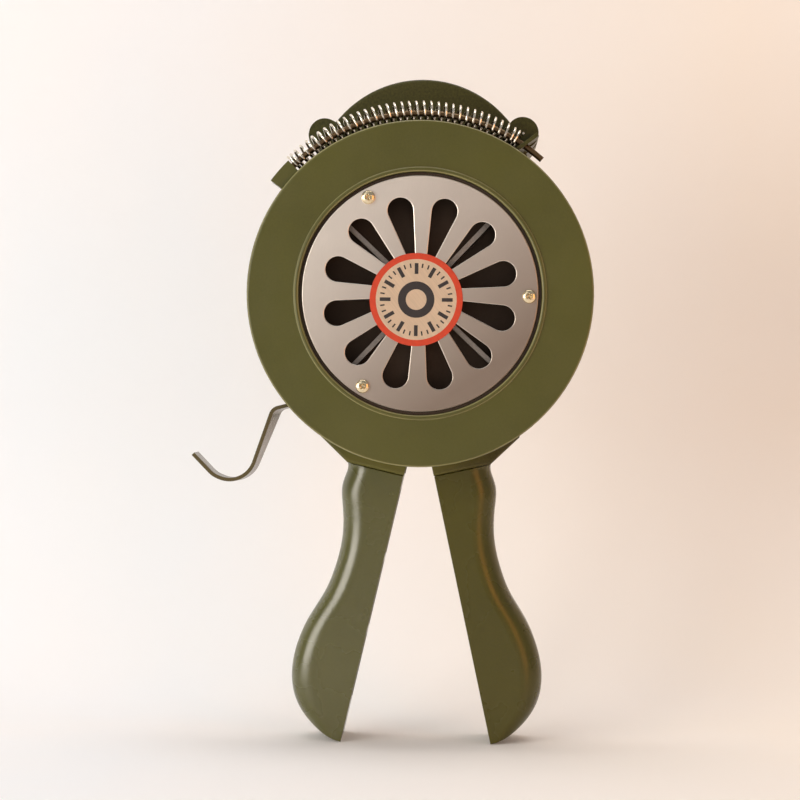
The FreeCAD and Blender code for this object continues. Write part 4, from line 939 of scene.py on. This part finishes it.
def pan_head(name, radius, height, shank_r, shank):
    """The mesh of one screw along +Z with its seat at z = 0."""
    wall = height * WALL_SHARE
    profile = [(shank_r, -shank), (shank_r, 0.0), (radius * FOOT_RADIUS_SHARE, 0.0),
               (radius, height * FOOT_HEIGHT_SHARE), (radius, wall)]
    for i in range(1, DOME_STEPS):
        angle = math.pi / 2 * i / DOME_STEPS
        profile.append((radius * math.cos(angle) ** DOME_POWER, wall + (height - wall) * math.sin(angle)))
    points = [(x, y, z) for row_r, z in profile for x, y in circle_points(row_r, HEAD_POINTS)]
    head = solid_of(name, points, skin_faces(len(profile), HEAD_POINTS), plated_steel)
    recess = cross_cutter(radius * RECESS_WIDTH_SHARE, radius * RECESS_REACH_SHARE,
                          height * RECESS_DEPTH_SHARE, height)
    cutter = solid_of(name + "_cutter", *recess, plated_steel)
    cut = head.modifiers.new("recess", "BOOLEAN")
    cut.object = cutter
    cut.solver = "EXACT"
    soften = head.modifiers.new("soften", "BEVEL")
    soften.width = EDGE_BREAK
    soften.segments = 2
    soften.angle_limit = math.radians(HEAD_SHARP)
    bpy.context.view_layer.update()
    mesh = bpy.data.meshes.new_from_object(head.evaluated_get(bpy.context.evaluated_depsgraph_get()))
    for spent in (head, cutter):
        bpy.data.objects.remove(spent)
    return mesh


print("a head has", HEAD_POINTS, "points round it and", DOME_STEPS - 1, "circles on its dome")

# %% [markdown]
# ## Setting copies of a screw
# Identical screws share one CAD node, so their copies are joined into one piece too. A screw is made along
# +Z and tipped onto the Y axis, towards the front or the back. No two screws end at the same angle, so each
# copy is first turned about its own axis by a random share of a quarter turn, the most that a cross can
# show. The seed makes the angles the same in every run.

# %% Copies of a screw
FRONT = 1
BACK = -1

random.seed(7)


def any_turns(places):
    """A random angle within a quarter turn for each place."""
    return [random.uniform(0, math.pi / 2) for _ in places]


def set_screws(name, mesh, places, y, facing, node, body, turns):
    """Copies of one screw at (x, z) places, joined into one piece that stands for the CAD node."""
    whole = bmesh.new()
    tip = Matrix.Rotation(math.radians(90 * facing), 4, "X")
    for (x, z), turn in zip(places, turns):
        copy = mesh.copy()
        copy.transform(Matrix.Translation((x, y, z)) @ tip @ Matrix.Rotation(turn, 4, "Z"))
        whole.from_mesh(copy)
        bpy.data.meshes.remove(copy)
    joined = bpy.data.meshes.new(name)
    whole.to_mesh(joined)
    whole.free()
    piece = smooth(piece_of(name, joined, plated_steel), HEAD_SHARP)
    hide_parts(node)
    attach(piece, body)
    return piece


print("ready to set screws")

# %% [markdown]
# ## The grille's screws
# Three small screws hold the grille. Their places are the centres of its round holes, and their heads sit
# on its front face.

# %% Screws of the grille
M3_HEAD_R = 2.8 * MM
M3_HEAD_H = 2.0 * MM
M3_SHANK_R = 1.5 * MM
M3_SHANK = 2.5 * MM

small = pan_head("small_pan_head", M3_HEAD_R, M3_HEAD_H, M3_SHANK_R, M3_SHANK)
grille_heads = set_screws("grille_screw_heads", small, screw_places, GRILLE_FRONT, FRONT, "grille_screws",
                          "housing", any_turns(screw_places))
print("grille screws:", len(screw_places), "with", len(grille_heads.data.polygons), "faces")

# %% [markdown]
# ## The back cover's screws
# Four larger screws hold the cover at the back. Their places are read from the CAD piece, which has one
# screw in each quadrant round the rotor's axis: the middle of what lies in a quadrant is that screw's axis.
# That way the heads stay on their holes if the cover changes.

# %% Screws of the back cover
M4_HEAD_R = 3.9 * MM
M4_HEAD_H = 2.6 * MM
M4_SHANK_R = 2.0 * MM
M4_SHANK = 3.0 * MM


def quadrant_centres(node):
    """The middle (x, z) of what a CAD piece has in each quadrant round the rotor's axis."""
    centres = []
    for side_x, side_z in ((-1, 1), (1, 1), (-1, -1), (1, -1)):
        spots = [v.co for v in node.data.vertices if v.co.x * side_x > 0 and v.co.z * side_z > 0]
        xs = [spot.x for spot in spots]
        zs = [spot.z for spot in spots]
        centres.append(((min(xs) + max(xs)) / 2, (min(zs) + max(zs)) / 2))
    return centres


cover_places = quadrant_centres(nodes["cover_screws"])
cover_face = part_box("cover_screws")[1].y - M4_HEAD_H
large = pan_head("large_pan_head", M4_HEAD_R, M4_HEAD_H, M4_SHANK_R, M4_SHANK)
cover_heads = set_screws("cover_screw_heads", large, cover_places, cover_face, BACK, "cover_screws",
                         "housing", any_turns(cover_places))
print("cover screws:", len(cover_places), "with", len(cover_heads.data.polygons), "faces, on a face at y",
      round(cover_face / MM, 1), "mm")

# %% [markdown]
# ## Paper for the backdrop
# The siren stands on a sweep of pale paper, which must not hide it from behind, so the back face of its
# material is clear. The colour drifts from a cool white on the left to a warmer one on the right, a painted
# warm tint for the shade on that side. A faint glow of its own is painted light, which lightens the paper
# and keeps the shadows on it soft.

# %% Paper
PAPER_COOL = linear(238, 240, 243)
PAPER_WARM_SHADE_TINT = linear(247, 238, 227)
PAPER_CLOUD = linear(246, 241, 238)
PAPER_PAINTED_GLOW = 0.05
PAPER_ROUGHNESS = 0.9
PAPER_CLOUD_SCALE = 9.0
PAPER_GRAIN_SCALE = 900.0
PAPER_GRAIN_DEPTH = 0.02 * MM
WARM_FROM_X = -0.12
WARM_TO_X = 0.16

paper = Finish("paper_with_painted_light")
# Painted shade: a warmer tint towards the right.
warm_shade_tint = toward(paper, (1, 0, 0), WARM_FROM_X, WARM_TO_X)
cloud = paper.span(paper.noise(PAPER_CLOUD_SCALE, 2.0), 0.0, 0.35)
paper.colour(paper.mix(cloud, paper.mix(warm_shade_tint, PAPER_COOL, PAPER_WARM_SHADE_TINT), PAPER_CLOUD))
paper.shader.inputs["Roughness"].default_value = PAPER_ROUGHNESS
# Painted light: the paper glows a little.
paper.shader.inputs["Emission Color"].default_value = (*linear(255, 250, 246), 1)
paper.shader.inputs["Emission Strength"].default_value = PAPER_PAINTED_GLOW
paper.bump([(paper.noise(PAPER_GRAIN_SCALE), PAPER_GRAIN_DEPTH)])
clear = paper.node("ShaderNodeBsdfTransparent")
choose = paper.node("ShaderNodeMixShader")
paper.link(paper.node("ShaderNodeNewGeometry").outputs["Backfacing"], choose.inputs["Fac"])
paper.link(paper.shader.outputs["BSDF"], choose.inputs[1])
paper.link(clear.outputs["BSDF"], choose.inputs[2])
paper.link(choose.outputs["Shader"], paper.tree.nodes["Material Output"].inputs["Surface"])
print("paper:", len(paper.tree.nodes), "nodes")

# %% [markdown]
# ## The studio floor
# The sheet lies flat, bends up in a wide curve behind the crank and goes on as a wall, so no horizon shows
# and the soft shadow falls where it would on paper. Its profile is a line, a quarter circle and a line,
# stretched sideways far past the camera's view.

# %% Sweep
FLOOR_Z = cad_box[0].z - 0.1 * MM
FLOOR_HALF = 4.0
WALL_Y = 0.240
WALL_TOP = 3.0
BEND_R = 0.140
BEND_STEPS = 12

profile = [(-FLOOR_HALF, FLOOR_Z), (WALL_Y - BEND_R, FLOOR_Z)]
for i in range(1, BEND_STEPS + 1):
    angle = math.pi / 2 * i / BEND_STEPS
    profile.append((WALL_Y - BEND_R + BEND_R * math.sin(angle), FLOOR_Z + BEND_R * (1 - math.cos(angle))))
profile.append((WALL_Y, WALL_TOP))
points = [(x, y, z) for y, z in profile for x in (-FLOOR_HALF, FLOOR_HALF)]
faces = [(2 * i, 2 * i + 1, 2 * i + 3, 2 * i + 2) for i in range(len(profile) - 1)]
sweep = smooth(solid_of("sweep", points, faces, paper.material), 60)
sweep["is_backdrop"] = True
print("sweep: floor at", round(FLOOR_Z / MM, 1), "mm, wall at", round(WALL_Y / MM), "mm")

# %% [markdown] ## Measure and finish The dressed siren must keep the size of its CAD model.

# %% Sizes
seen_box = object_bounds()
growth = (seen_box[1] - seen_box[0]) - (cad_box[1] - cad_box[0])
print("box grew by", [round(side / MM, 2) for side in growth], "mm")
